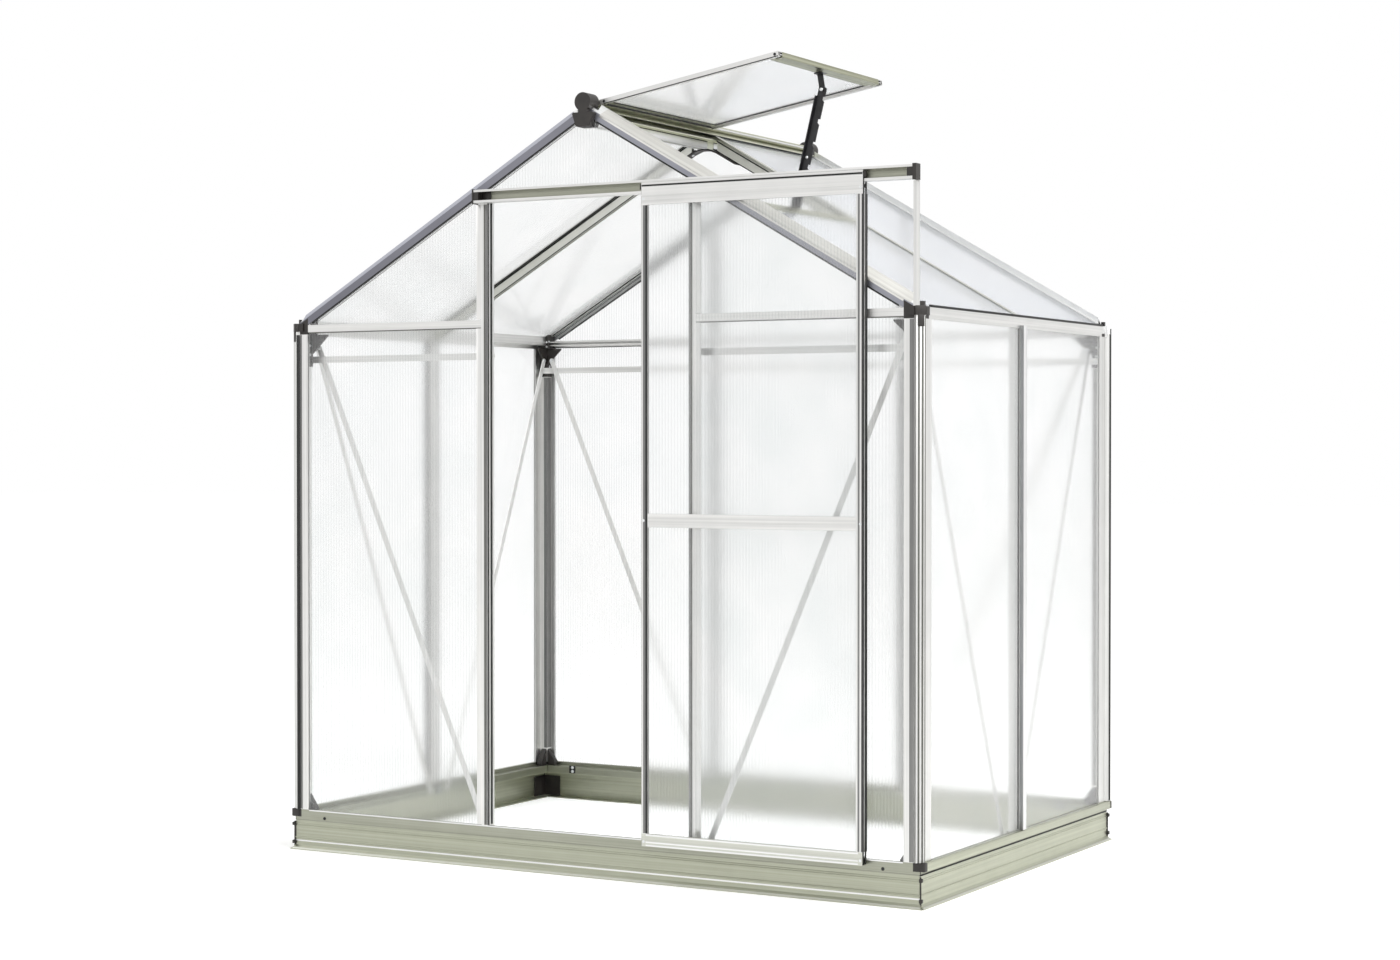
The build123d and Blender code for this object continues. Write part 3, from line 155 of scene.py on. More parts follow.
def extruded_aluminium(name, along, dark, pale, roughness, gable_face_shades=None):
    """Satin extrusion with streaks along its length.

    The outer faces of the gables can take painted shade: a dark and a pale tone of their own, left and right.
    """
    material, tree = new_material(name)
    place = add_node(tree, "ShaderNodeTexCoord").outputs["Object"]
    scale = [s / MM for s in STREAK_SCALE[along]]
    stretched = add_node(tree, "ShaderNodeMapping", {"Vector": place, "Scale": scale})
    lines = add_node(
        tree,
        "ShaderNodeTexNoise",
        {"Vector": stretched.outputs["Vector"], "Scale": 1, "Detail": 3, "Roughness": 0.6},
    ).outputs["Fac"]
    marks = add_node(
        tree, "ShaderNodeTexNoise", {"Vector": place, "Scale": 1 / (handling_mark_mm * MM), "Detail": 4}
    ).outputs["Fac"]
    pattern = add_node(
        tree, "ShaderNodeMath", {0: marks, 1: 0.2, 2: lines}, operation="MULTIPLY_ADD"
    ).outputs["Value"]
    colour = blend_tones(tree, pattern, [(0.42, dark), (0.82, pale)])
    # Painted shade on the outer gable faces, in tones of their own
    if gable_face_shades:
        axes = add_node(tree, "ShaderNodeSeparateXYZ", {"Vector": place}).outputs
        left, right = [blend_tones(tree, pattern, [(0.42, low), (0.82, high)]) for low, high in gable_face_shades]
        outer = split_tones(tree, axes["X"], 0, left, right)
        depth = add_node(tree, "ShaderNodeMath", {0: axes["Y"]}, operation="ABSOLUTE").outputs["Value"]
        colour = split_tones(tree, depth, (half_depth - shaded_face_mm) * MM, colour, outer)
    rough = add_node(
        tree,
        "ShaderNodeMapRange",
        {
            "Value": lines,
            "From Min": 0.3,
            "From Max": 0.7,
            "To Min": roughness - 0.06,
            "To Max": roughness + 0.06,
        },
    )
    bump = add_node(tree, "ShaderNodeBump", {"Height": lines, "Strength": 0.06, "Distance": 0.3 * MM})
    shader = add_node(
        tree,
        "ShaderNodeBsdfPrincipled",
        {
            "Base Color": colour,
            "Metallic": 1.0,
            "Roughness": rough.outputs["Result"],
            "Normal": bump.outputs["Normal"],
        },
    )
    add_node(tree, "ShaderNodeOutputMaterial", {"Surface": shader.outputs["BSDF"]})
    return material


# Moulded plastic, rubber, pile and enamel are dark and even, with a fine grain that breaks up the shine
plastic_cloud_mm = 30


def moulded_plastic(name, dark, pale, roughness, grain_mm):
    """Fine grain over a dark even colour."""
    material, tree = new_material(name)
    place = add_node(tree, "ShaderNodeTexCoord").outputs["Object"]
    grain = add_node(
        tree, "ShaderNodeTexNoise", {"Vector": place, "Scale": 1 / (grain_mm * MM), "Detail": 2}
    ).outputs["Fac"]
    cloud = add_node(
        tree, "ShaderNodeTexNoise", {"Vector": place, "Scale": 1 / (plastic_cloud_mm * MM), "Detail": 3}
    ).outputs["Fac"]
    colour = blend_tones(tree, cloud, [(0.3, dark), (0.75, pale)])
    bump = add_node(tree, "ShaderNodeBump", {"Height": grain, "Strength": 0.25, "Distance": 0.2 * MM})
    shader = add_node(
        tree,
        "ShaderNodeBsdfPrincipled",
        {"Base Color": colour, "Roughness": roughness, "IOR": 1.5, "Normal": bump.outputs["Normal"]},
    )
    add_node(tree, "ShaderNodeOutputMaterial", {"Surface": shader.outputs["BSDF"]})
    return material


# Twin-wall polycarbonate is two clear skins with webs between them. It lets most light through, blurs what is
# behind it and shows the webs as fine lines. The real webs are 6 mm apart and are drawn 9 mm apart, so that
# they show.
web_pitch_mm = 9
sheet_haze_mm = 160


def twin_wall_polycarbonate(name, across, tints=("#FBFCFC", "#FFFFFF")):
    """Frosted clear sheet with webs that repeat across the X or Y axis."""
    material, tree = new_material(name)
    place = add_node(tree, "ShaderNodeTexCoord").outputs["Object"]
    axes = add_node(tree, "ShaderNodeSeparateXYZ", {"Vector": place})
    turns = add_node(
        tree,
        "ShaderNodeMath",
        {0: axes.outputs[across], 1: 2 * pi / (web_pitch_mm * MM)},
        operation="MULTIPLY",
    )
    wave = add_node(tree, "ShaderNodeMath", {0: turns.outputs["Value"]}, operation="COSINE")
    web = add_node(
        tree,
        "ShaderNodeMapRange",
        {"Value": wave.outputs["Value"], "From Min": 0.2, "From Max": 1.0, "To Min": 0.0, "To Max": 1.0},
    ).outputs["Result"]
    haze = add_node(
        tree, "ShaderNodeTexNoise", {"Vector": place, "Scale": 1 / (sheet_haze_mm * MM), "Detail": 2}
    )
    clear = add_node(tree, "ShaderNodeMapRange", {"Value": web, "To Min": 0.96, "To Max": 0.87})
    colour = blend_tones(tree, haze.outputs["Fac"], [(0.3, tints[0]), (0.7, tints[1])])
    bump = add_node(tree, "ShaderNodeBump", {"Height": web, "Strength": 0.02, "Distance": 0.4 * MM})
    sheet = add_node(
        tree,
        "ShaderNodeBsdfPrincipled",
        {
            "Base Color": colour,
            "Roughness": 0.13,
            "IOR": 1.3,
            "Transmission Weight": clear.outputs["Result"],
            "Normal": bump.outputs["Normal"],
        },
    )
    lamp_through = add_node(tree, "ShaderNodeBsdfTransparent", {"Color": linear("#F4F6F6")})
    ray = add_node(tree, "ShaderNodeLightPath")
    mixed = add_node(
        tree,
        "ShaderNodeMixShader",
        {"Fac": ray.outputs["Is Shadow Ray"], 1: sheet.outputs["BSDF"], 2: lamp_through.outputs["BSDF"]},
    )
    add_node(tree, "ShaderNodeOutputMaterial", {"Surface": mixed.outputs["Shader"]})
    return material


# Zinc-plated steel is bright, with a faint mottle of crystals
zinc_crystal_mm = 2


def plated_steel(name):
    """Bright zinc with a crystal mottle."""
    material, tree = new_material(name)
    place = add_node(tree, "ShaderNodeTexCoord").outputs["Object"]
    crystals = add_node(tree, "ShaderNodeTexVoronoi", {"Vector": place, "Scale": 1 / (zinc_crystal_mm * MM)})
    colour = blend_tones(tree, crystals.outputs["Distance"], [(0.0, "#C9CBCC"), (0.8, "#E4E6E7")])
    shader = add_node(
        tree, "ShaderNodeBsdfPrincipled", {"Base Color": colour, "Metallic": 1.0, "Roughness": 0.28}
    )
    add_node(tree, "ShaderNodeOutputMaterial", {"Surface": shader.outputs["BSDF"]})
    return material


# Mill finish: the pale satin silver of most bars
mill = {
    along: extruded_aluminium(f"mill_aluminium_{along}", along, "#D2D2D0", "#EBEAE8", 0.36)
    for along in STREAK_SCALE
}
# Base rails: a duller, greener grey, the side rails a shade lighter than the front and back ones as painted
# light and shade
base_alu = {
    "x": extruded_aluminium("base_aluminium_x", "x", "#9FA191", "#B5B7A6", 0.42),
    "y": extruded_aluminium("base_aluminium_y", "y", "#ACAE9D", "#C1C3B2", 0.42),
}
# Sills: greyer and darker than the bars above them
sill_alu = {
    along: extruded_aluminium(f"sill_aluminium_{along}", along, "#949688", "#A9AA9D", 0.4) for along in "xy"
}
# Vent's sill and drip bar: an olive grey, darker than the other bars as painted shade under the roof
roof_shade_alu = extruded_aluminium("roof_aluminium_painted_shade", "y", "#86876F", "#B4B59F", 0.36)
# Ridge beam: a warm pale grey, with the hinge bar above it brighter, as painted light that offsets the shade
# it sits in
ridge_alu = extruded_aluminium("ridge_aluminium", "y", "#BEBFAB", "#DCDDCE", 0.36)
hinge_lit_alu = extruded_aluminium("hinge_aluminium_painted_light", "y", "#D8D8CC", "#EEEEE6", 0.36)
# Noses of the posts, and the bright bands on them, which are painted highlights: a light grey with a broad
# sheen
nose_and_highlight_alu = extruded_aluminium("nose_aluminium_painted_highlight", "z", "#C4C4C2", "#DADAD8", 0.45)
# Bead along the base's foot: a pale line, a painted highlight where it catches the light
bead_highlight_alu = {
    along: extruded_aluminium(f"bead_painted_highlight_{along}", along, "#BFC0B6", "#D3D4CB", 0.42) for along in "xy"
}
# Door's bottom rail: a warm grey, duller than the stiles
foot_alu = extruded_aluminium("door_foot_aluminium", "x", "#BEBFB6", "#D4D5CD", 0.4)
# Middle rafters: a shade darker than the other bars, painted shade for the inside of the roof
slope_shade_alu = extruded_aluminium("mid_rafter_aluminium", "slope", "#BFC0B8", "#DADAD4", 0.36)
# Gable rafters: painted light and shade, nearly white for the light on their tops, with blue-grey painted
# shade on the gable faces, the left ones darker
rafter_light_shade_alu = extruded_aluminium(
    "rafter_aluminium", "slope", "#E2E3E2", "#F4F4F3", 0.4, (("#72727A", "#8A8A92"), ("#8E8F98", "#A9AAB2"))
)
# Covers of the gable rafters: painted shade, blue-grey, on the left slope and a painted highlight, bright, on
# the right one
rafter_cover_light_shade_alu = {
    -1: extruded_aluminium("left_rafter_cover_painted_shade", "slope", "#9A9CA8", "#B2B4BE", 0.4),
    1: extruded_aluminium("right_rafter_cover_painted_highlight", "slope", "#D2D1CC", "#E4E3DE", 0.4),
}
# Bright strips and plates: nearly white; the strips on the base, round the ridge's box and on the door's foot
# are painted light
white_alu = {
    along: extruded_aluminium(f"bright_aluminium_{along}", along, "#DEDEDE", "#F0F0EF", 0.4)
    for along in STREAK_SCALE
}
# Grey strips of painted shade in recesses and on shaded faces: a mid grey, lighter beside the side studs
painted_shade_alu = extruded_aluminium("cover_strip_painted_shade", "z", "#727272", "#8C8C8A", 0.4)
stud_shade_alu = extruded_aluminium("stud_strip_painted_shade", "z", "#929394", "#A8A9AA", 0.4)
# Inside of the door rail's channel: painted shade, an olive grey
channel_shade_alu = extruded_aluminium("channel_painted_shade", "x", "#9C9D8F", "#B8B9AB", 0.45)
# Brackets and caps: nylon, a matt brown that is nearly black
bracket_plastic = moulded_plastic("moulded_nylon", "#211E1C", "#2E2A27", 0.5, 0.8)
# Seals: rubber, a dull black line; many of the black strips are painted shade in gaps, recesses and under
# bars, and the dull grey strips on the posts, the jambs and under the ties are painted shade
seal_and_shade_rubber = moulded_plastic("extruded_rubber", "#121312", "#1C1D1C", 0.62, 0.6)
painted_shade_rubber = moulded_plastic("painted_shade_rubber", "#565652", "#65655F", 0.6, 0.6)
# Brush strips: black pile with no shine
brush_pile = moulded_plastic("brush_pile", "#191918", "#2A2A28", 0.9, 0.5)
# Stay and black screws: enamel, a smooth black with a soft shine
stay_paint = moulded_plastic("black_enamel", "#161618", "#222225", 0.32, 1.2)
# Bolts and bright screws: zinc, small bright dots
zinc = plated_steel("zinc_plated_steel")
# Sheets: webs side by side along X on the gables and the door, along Y elsewhere, tinted bluer on the right
# slope as painted light
sheet_x = twin_wall_polycarbonate("twin_wall_polycarbonate_x", "X")
sheet_y = twin_wall_polycarbonate("twin_wall_polycarbonate_y", "Y")
roof_sheet = twin_wall_polycarbonate("twin_wall_polycarbonate_roof", "Y", ("#F3F6FC", "#F9FBFF"))

# Finish of each solid of the construction
finishes = {
    mill["x"]: ["gable_ties", "door_header", "cross_bars", "door_rail", "door_top_rail", "door_mid_rail"],
    mill["y"]: ["eaves_beam_left", "eaves_beam_right"],
    mill["z"]: [
        "corner_post_front_left", "corner_post_front_right", "corner_post_back_left",
        "corner_post_back_right", "door_jamb_left", "door_jamb_right", "back_studs", "side_studs",
        "wind_braces", "door_stiles", "door_rail_strut",
    ],
    mill["slope"]: ["vent_side_bars"],
    base_alu["x"]: ["base_rail_front", "base_rail_back"],
    base_alu["y"]: ["base_rail_left", "base_rail_right"],
    sill_alu["x"]: ["sill_front", "sill_back"],
    sill_alu["y"]: ["sill_left", "sill_right"],
    roof_shade_alu: ["vent_sill", "vent_drip_bar"],
    ridge_alu: ["ridge_beam"],
    hinge_lit_alu: ["vent_hinge_bar"],
    foot_alu: ["door_bottom_rail"],
    slope_shade_alu: ["mid_rafter_left", "mid_rafter_right"],
    rafter_light_shade_alu: ["gable_rafters"],
    bracket_plastic: [
        "base_corner_brackets", "sill_corner_blocks", "eaves_corner_brackets", "ridge_end_caps",
        "ridge_mid_strap", "door_rail_end_caps", "door_glides", "door_hangers", "door_roller_left",
        "door_roller_right",
    ],
    sheet_x: ["panels_front", "panels_back", "door_panes"],
    sheet_y: ["panels_left", "panels_right", "panels_roof_left", "vent_pane"],
    roof_sheet: ["panels_roof_right"],
    seal_and_shade_rubber: ["eaves_seals"],
    brush_pile: ["door_brushes"],
    stay_paint: ["vent_stay_arm", "vent_stay_bracket"],
    zinc: ["brace_bolts", "vent_stay_peg"],
}
for material, nodes in finishes.items():
    for node in nodes:
        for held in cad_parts[node].material_slots:
            held.material = material

# Frames to place pieces in, in millimetres. A wall has a point at the foot of its outer face, its run and
# half its length.
UP = Vector((0, 0, 1))
ACROSS = Vector((0, 1, 0))
WALLS = {
    "front": (Vector((0, -half_depth, 0)), Vector((1, 0, 0)), half_width),
    "right": (Vector((half_width, 0, 0)), Vector((0, 1, 0)), half_depth),
    "back": (Vector((0, half_depth, 0)), Vector((-1, 0, 0)), half_width),
    "left": (Vector((-half_width, 0, 0)), Vector((0, -1, 0)), half_depth),
}


def placed(origin, x_axis, y_axis):
    """Frame at a point with the given X and Y axes and Z square to both."""
    axes = Matrix((x_axis, y_axis, x_axis.cross(y_axis))).transposed()
    return Matrix.Translation(origin) @ axes.to_4x4()


def moved(place, x, y=0, z=0):
    """The same frame, moved along its own axes."""
    return place @ Matrix.Translation((x, y, z))


def facing_out(place):
    """A frame on a wall or a bar, turned so that Z points out of its face."""
    return place @ Matrix.Rotation(pi / 2, 4, "X")


def facing_in(place):
    """A frame on a wall or a bar, turned so that Z points along its Y, into the house."""
    return place @ Matrix.Rotation(-pi / 2, 4, "X")


def facing_along(place):
    """A frame on a wall or a bar, turned so that Z points along its X."""
    return place @ Matrix.Rotation(pi / 2, 4, "Y")


def wall_frame(wall, along=0):
    """X along a wall, Y from its outer face into the house, Z up."""
    face, run, half_run = WALLS[wall]
    return placed(face + run * along, run, UP.cross(run))


def corner_frame(wall):
    """Outer corner where a wall starts, with X and Y along the two walls and Z up."""
    return wall_frame(wall, -WALLS[wall][2])


def bevel_frame(wall):
    """Middle of a post's bevel: X across the bevel, Y into the post, Z up."""
    return moved(corner_frame(wall), post_bevel / 2, post_bevel / 2) @ Matrix.Rotation(-pi / 4, 4, "Z")


def into_roof(side):
    """Direction square to a slope, down into the house."""
    return Vector((-side * sin(slope), 0, -cos(slope)))


def slope_frame(side):
    """X down a slope from the apex, Y into the house, Z along the ridge."""
    return placed(Vector((0, 0, apex)), Vector((side * cos(slope), 0, -sin(slope))), into_roof(side))


def rafter_frame(side, across, inward):
    """X along the ridge in the inward sense, Y into the house, Z along the slope."""
    return placed(Vector((0, across, apex)), ACROSS * inward, into_roof(side))


VENT = placed(
    vent_hinge,
    Vector((cos(vent_open), 0, sin(vent_open))),
    Vector((-sin(vent_open), 0, cos(vent_open))),
)
DOOR = placed(Vector((door_middle, door_face, 0)), Vector((1, 0, 0)), ACROSS)


def on_side(side, near, far):
    """Two distances from the middle, put on one side of it, the lower one first."""
    return sorted((side * near, side * far))


def new_shapes(count):
    """Empty shapes for the pieces of a section."""
    return [bmesh.new() for _ in range(count)]


def add_block(shape, place, low, high, edge=0.4):
    """Block between two corners of a frame, with eased edges."""
    low = Vector(low)
    high = Vector(high)
    fitted = place @ Matrix.Translation((low + high) / 2) @ Matrix.Diagonal((*(high - low), 1))
    made = bmesh.ops.create_cube(shape, size=1, matrix=fitted)
    edges = list(dict.fromkeys(edge_of for corner in made["verts"] for edge_of in corner.link_edges))
    bmesh.ops.bevel(shape, geom=edges, offset=edge, segments=2, profile=0.5, affect="EDGES", material=-1)


def draw_out(shape, face, way):
    """Draws a face out into a bar."""
    drawn = bmesh.ops.extrude_face_region(shape, geom=[face])
    far = [part for part in drawn["geom"] if isinstance(part, bmesh.types.BMVert)]
    bmesh.ops.translate(shape, verts=far, vec=way)


def add_strip(shape, place, outline, start, end):
    """Strip of one section, the outline in X and Y, drawn out along Z."""
    corners = [shape.verts.new(place @ Vector((x, y, start))) for x, y in outline]
    draw_out(shape, shape.faces.new(corners), place.to_3x3() @ Vector((0, 0, end - start)))


def add_screw(shape, place, radius=4.5, height=2.4):
    """Round screw head with a socket in it, standing up along Z."""
    section = [
        (0, 0.5 * height),
        (0.4 * radius, 0.5 * height),
        (0.42 * radius, height),
        (0.75 * radius, 0.85 * height),
        (radius, 0.3 * height),
        (radius, 0),
    ]
    corners = [shape.verts.new(place @ Vector((x, 0, z))) for x, z in section]
    edges = [shape.edges.new(pair) for pair in zip(corners, corners[1:])]
    bmesh.ops.spin(
        shape,
        geom=corners + edges,
        cent=place.translation,
        axis=place.to_3x3() @ UP,
        angle=2 * pi,
        steps=12,
        use_merge=True,
    )


def finish_piece(name, shape, body, material):
    """Turns a shape in millimetres into a piece that rides on a body."""
    bmesh.ops.remove_doubles(shape, verts=shape.verts, dist=0.01)
    bmesh.ops.recalc_face_normals(shape, faces=shape.faces)
    bmesh.ops.scale(shape, verts=shape.verts, vec=(MM, MM, MM))
    mesh = bpy.data.meshes.new(name)
    shape.to_mesh(mesh)
    shape.free()
    mesh.materials.append(material)
    mesh.shade_smooth()
    mesh.set_sharp_from_angle(angle=radians(35))
    piece = bpy.data.objects.new(name, mesh)
    scene.collection.objects.link(piece)
    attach(piece, body)


# How far a dressing piece goes into the bar that carries it, a cover a little further
sunk = 0.1
cover_sunk = 0.2

# Bright strips on the gables' base and along the sills' top lips, which are painted highlights, a bead in a
# highlight tone and a cove along the foot all round
gable_strip = (22.2, 26.4)
gable_strip_proud = 1.4
lip_heights = (sill_top - 3.4, sill_top - 0.1)
lip_setback = {"x": 46.5, "y": 63.5}
bead_section = [(-11.9, 2.45), (-8.2, 6.1), (-7.4, 6.1), (-5.5, 2.45)]
cove_section = [(-5.4, 2.45), (-5.4, 6), (sunk, 11.5), (sunk, 2.45)]
bead_past_corner = 4
cove_past_corner = 3
for axis, walls in (("x", ("front", "back")), ("y", ("left", "right"))):
    strips, beads, coves = new_shapes(3)
    for wall in walls:
        face, run, half_run = WALLS[wall]
        lip_end = half_run - lip_setback[axis]
        lip_proud = 0.4 if wall == "front" else 0.6
        low = (-lip_end, -lip_proud, lip_heights[0])
        add_block(strips, wall_frame(wall), low, (lip_end, sunk, lip_heights[1]), edge=0.15)
        if axis == "x":
            low = (1 - half_run, -gable_strip_proud, gable_strip[0])
            add_block(strips, wall_frame(wall), low, (half_run - 1, sunk, gable_strip[1]))
        section = placed(face, UP.cross(run), UP)
        add_strip(beads, section, bead_section, -half_run - bead_past_corner, half_run + bead_past_corner)
        add_strip(coves, section, cove_section, -half_run - cove_past_corner, half_run + cove_past_corner)
    finish_piece(f"base_highlight_strips_{axis}", strips, "frame", white_alu[axis])
    finish_piece(f"base_foot_beads_{axis}", beads, "frame", bead_highlight_alu[axis])
    finish_piece(f"base_foot_coves_{axis}", coves, "frame", base_alu[axis])

# Caps on the lugs of the base's corner brackets
lug_heights = (20, 70)
lug_cap_half = 4.5
lug_cap_out = 7
lug_cap_in = 1.2
caps = bmesh.new()
for wall in WALLS:
    for height in lug_heights:
        low = (-lug_cap_out, -lug_cap_out, height - lug_cap_half)
        add_block(caps, corner_frame(wall), low, (lug_cap_in, lug_cap_in, height + lug_cap_half), edge=0.8)
finish_piece("base_lug_caps", caps, "frame", bracket_plastic)

# Noses of the sills that stand over the base, all round but in front, where the door runs
nose_depth = 11
nose_heights = (base_height + 9.5, sill_top - 0.6)
for axis, walls in (("x", ("back",)), ("y", ("left", "right"))):
    noses = bmesh.new()
    for wall in walls:
        half_run = WALLS[wall][2]
        past_left = nose_depth if wall in ("back", "left") else 0
        past_right = nose_depth if wall in ("back", "right") else 0
        low = (-half_run - past_left, -nose_depth, nose_heights[0])
        add_block(noses, wall_frame(wall), low, (half_run + past_right, sunk, nose_heights[1]), edge=1)
    finish_piece(f"sill_noses_{axis}", noses, "frame", base_alu[axis])

# Plastic caps round the front corners of the sills
corner_cap_inner = half_width - 12
corner_cap_outer = half_width + nose_depth + 0.8
corner_cap_proud = 1.6
corner_cap_back = 16
caps = bmesh.new()
for side in (-1, 1):
    left, right = on_side(side, corner_cap_inner, corner_cap_outer)
    low = (left, -corner_cap_proud, base_height + 10.4)
    add_block(caps, wall_frame("front"), low, (right, corner_cap_back, sill_top + 0.4), edge=0.8)
finish_piece("sill_corner_caps", caps, "frame", bracket_plastic)

# Strips in the groove between base and sill: black rubber on the sides, a painted shadow under the sills'
# noses, and metal on the gables; rubber in the mitres, and screws near the ends of the gables' sills
groove_low = base_height + 0.2
groove_depth = 1.1
mitre_half = 0.7
mitre_depth = 4
sill_screw_height = 90
sill_screw_from_end = 100
seals, seams, screws = new_shapes(3)
for wall, (face, run, half_run) in WALLS.items():
    end = half_run - 2.4
    if wall in ("left", "right"):
        add_block(seals, wall_frame(wall), (-end, -1.8, groove_low), (end, groove_depth, base_height + 3.6))
    else:
        add_block(seams, wall_frame(wall), (-end, -0.8, groove_low), (end, groove_depth, base_height + 2.8))
    mitre = corner_frame(wall) @ Matrix.Rotation(-pi / 4, 4, "Z")
    low = (-mitre_half, -0.2, groove_low)
    add_block(seals, mitre, low, (mitre_half, mitre_depth, base_height + 9.9), edge=0.2)
    if wall in ("front", "back"):
        for side in (-1, 1):
            place = wall_frame(wall, side * (half_run - sill_screw_from_end))
            add_screw(screws, facing_out(moved(place, 0, 0, sill_screw_height)))
finish_piece("sill_shadow_and_mitre_seals", seals, "frame", seal_and_shade_rubber)
finish_piece("sill_seams", seams, "frame", sill_alu["x"])
finish_piece("sill_screws", screws, "frame", stay_paint)

# Noses on the posts' bevels with bands of painted shade and painted highlight, the left front one wider and
# plain. Caps stand over them at the eaves, with a tongue below each front cap and a black lip down each back
# nose.
post_nose = 12.5
post_nose_heights = (sill_top + 1, eaves_low + 8)
nose_section = [(-12.7, 0.2), (-12.3, -post_nose), (12.3, -post_nose), (12.7, 0.2)]
plain_nose_section = [(-12.7, 0.2), (-13.1, -14.3), (-8, -14.3), (12.3, -10.5), (12.7, 0.2)]
shade_bands = ((-7.6, -3.4), (2.2, 6.4), (10, 12.1))
highlight_bands = ((-12.2, -7.8), (-3.2, 2), (6.6, 9.8))
band_proud = 0.8
cap_half = 13.4
cap_out = 14.8
cap_in = 3.4
cap_heights = (eaves_low + 7.6, eaves_height + 2.4)
tongue_half = 8.5
tongue_heights = (eaves_low - 19.5, eaves_low + 9)
lip_half = 3.4
lip_out = 23
noses, shade_shapes, highlight_shapes, lips, caps, pale_caps = new_shapes(6)
for wall in WALLS:
    bevel = bevel_frame(wall)
    at_front = wall in ("front", "right")
    if wall == "front":
        add_strip(noses, bevel, plain_nose_section, *post_nose_heights)
    else:
        add_strip(noses, bevel, nose_section, *post_nose_heights)
        to_side = 1 if wall in ("right", "left") else -1
        # Grey bands paint the shade in the bevel's grooves, bright ones the highlights on its ribs
        for shape, bands in ((shade_shapes, shade_bands), (highlight_shapes, highlight_bands)):
            for band in bands:
                left, right = on_side(to_side, *band)
                low = (left, -post_nose - band_proud, sill_top + 1.2)
                add_block(shape, bevel, low, (right, -post_nose + cover_sunk, eaves_low + 6), edge=0.3)
    low = (-cap_half, -cap_out, cap_heights[0])
    add_block(caps if at_front else pale_caps, bevel, low, (cap_half, -cap_in, cap_heights[1]), edge=0.8)
    if at_front:
        low = (-tongue_half, -cap_out, tongue_heights[0])
        add_block(caps, bevel, low, (tongue_half, -post_nose - 0.5, tongue_heights[1]), edge=0.8)
    else:
        low = (-lip_half, -lip_out, sill_top + 1)
        add_block(lips, bevel, low, (lip_half, -post_nose - 0.5, eaves_low + 24), edge=1)
finish_piece("post_noses", noses, "frame", nose_and_highlight_alu)
finish_piece("post_shade_bands", shade_shapes, "frame", painted_shade_rubber)
finish_piece("post_highlight_bands", highlight_shapes, "frame", nose_and_highlight_alu)
finish_piece("post_lips", lips, "frame", seal_and_shade_rubber)
finish_piece("eaves_caps", caps, "frame", bracket_plastic)
finish_piece("eaves_caps_back", pale_caps, "frame", white_alu["z"])

# Grey strips of painted shade on the gable faces of the posts, a narrow one on the left front post
post_cover_width = 12
narrow_cover_width = 6.5
post_cover_proud = 0.5
covers = bmesh.new()
for wall in WALLS:
    cover_width = narrow_cover_width if wall == "front" else post_cover_width
    low = Vector((post_bevel + 0.4, -post_cover_proud, sill_top + 1))
    high = Vector((post_bevel + cover_width, cover_sunk, eaves_low - 1))
    if wall in ("right", "left"):
        low, high = low.yxz, high.yxz
    add_block(covers, corner_frame(wall), low, high, edge=0.2)
finish_piece("post_shade_strips", covers, "frame", painted_shade_alu)

# Painted shade on the inner faces of the back posts: grey strips and a black line
inner_heights = (156, eaves_low - 90)
inner_face = (post_size - 0.05, post_size + 0.6)
covers, lines = new_shapes(2)
for wall in ("back", "left"):
    for shape, across, into in (
        (covers, inner_face, (22, 32.8)),
        (lines, inner_face, (0.6, 7)),
        (covers, (10, post_size - 0.2), inner_face),
    ):
        low, high = [Vector(corner) for corner in zip(across, into, inner_heights)]
        if wall == "back":
            low, high = low.yxz, high.yxz
        add_block(shape, corner_frame(wall), low, high, edge=0.2)
finish_piece("post_inner_shade_strips", covers, "frame", painted_shade_alu)
finish_piece("post_inner_shade_lines", lines, "frame", seal_and_shade_rubber)

# Black strip of painted shade on the side of the left front post's nose
seals = bmesh.new()
add_block(seals, bevel_frame("front"), (12.4, -9.5, sill_top + 1), (13.4, -0.3, eaves_low - 1), edge=0.3)
finish_piece("post_nose_shade_line", seals, "frame", seal_and_shade_rubber)

# Grey strips of painted shade under the gable ties
tie_shade_height = 3
seals = bmesh.new()
for wall in ("front", "back"):
    for side in (-1, 1):
        left, right = on_side(side, bay_edge + bar_half + 1, half_width - post_size - 14)
        low = (left, 0.4, tie_height - tie_half - tie_shade_height)
        add_block(seals, wall_frame(wall), low, (right, 2.1, tie_height - tie_half - 0.1), edge=0.3)
finish_piece("tie_shade_strips", seals, "frame", painted_shade_rubber)

# Covers over the bevels of the gable rafters, and over the upper half of the right ones' gable faces: painted
# shade on the left slope and a painted highlight on the right one
bevel_cover_section = [(0.2, 5.9), (rafter_inner, -13.9), (rafter_inner - 0.4, -14.4), (-0.2, 5.4)]
face_cover = (6.1, 11.8)
bevel_cover_reach = 924
face_cover_reach = 908
below_ridge = 46


def gable_rafter_ends(side, inward, reach):
    """Ends of a strip on a gable rafter, from the ridge to as far out as it reaches."""
    return sorted(-side * inward * x / cos(slope) for x in (below_ridge, reach))


for side, side_name in ((-1, "left"), (1, "right")):
    covers = bmesh.new()
    for inward in (-1, 1):
        place = rafter_frame(side, -inward * half_depth, inward)
        add_strip(covers, place, bevel_cover_section, *gable_rafter_ends(side, inward, bevel_cover_reach))
        if side == 1:
            start, end = gable_rafter_ends(side, inward, face_cover_reach)
            low = (-0.4, face_cover[0], start)
            add_block(covers, place, low, (cover_sunk, face_cover[1], end), edge=0.15)
    finish_piece(f"rafter_light_shade_covers_{side_name}", covers, "frame", rafter_cover_light_shade_alu[side])

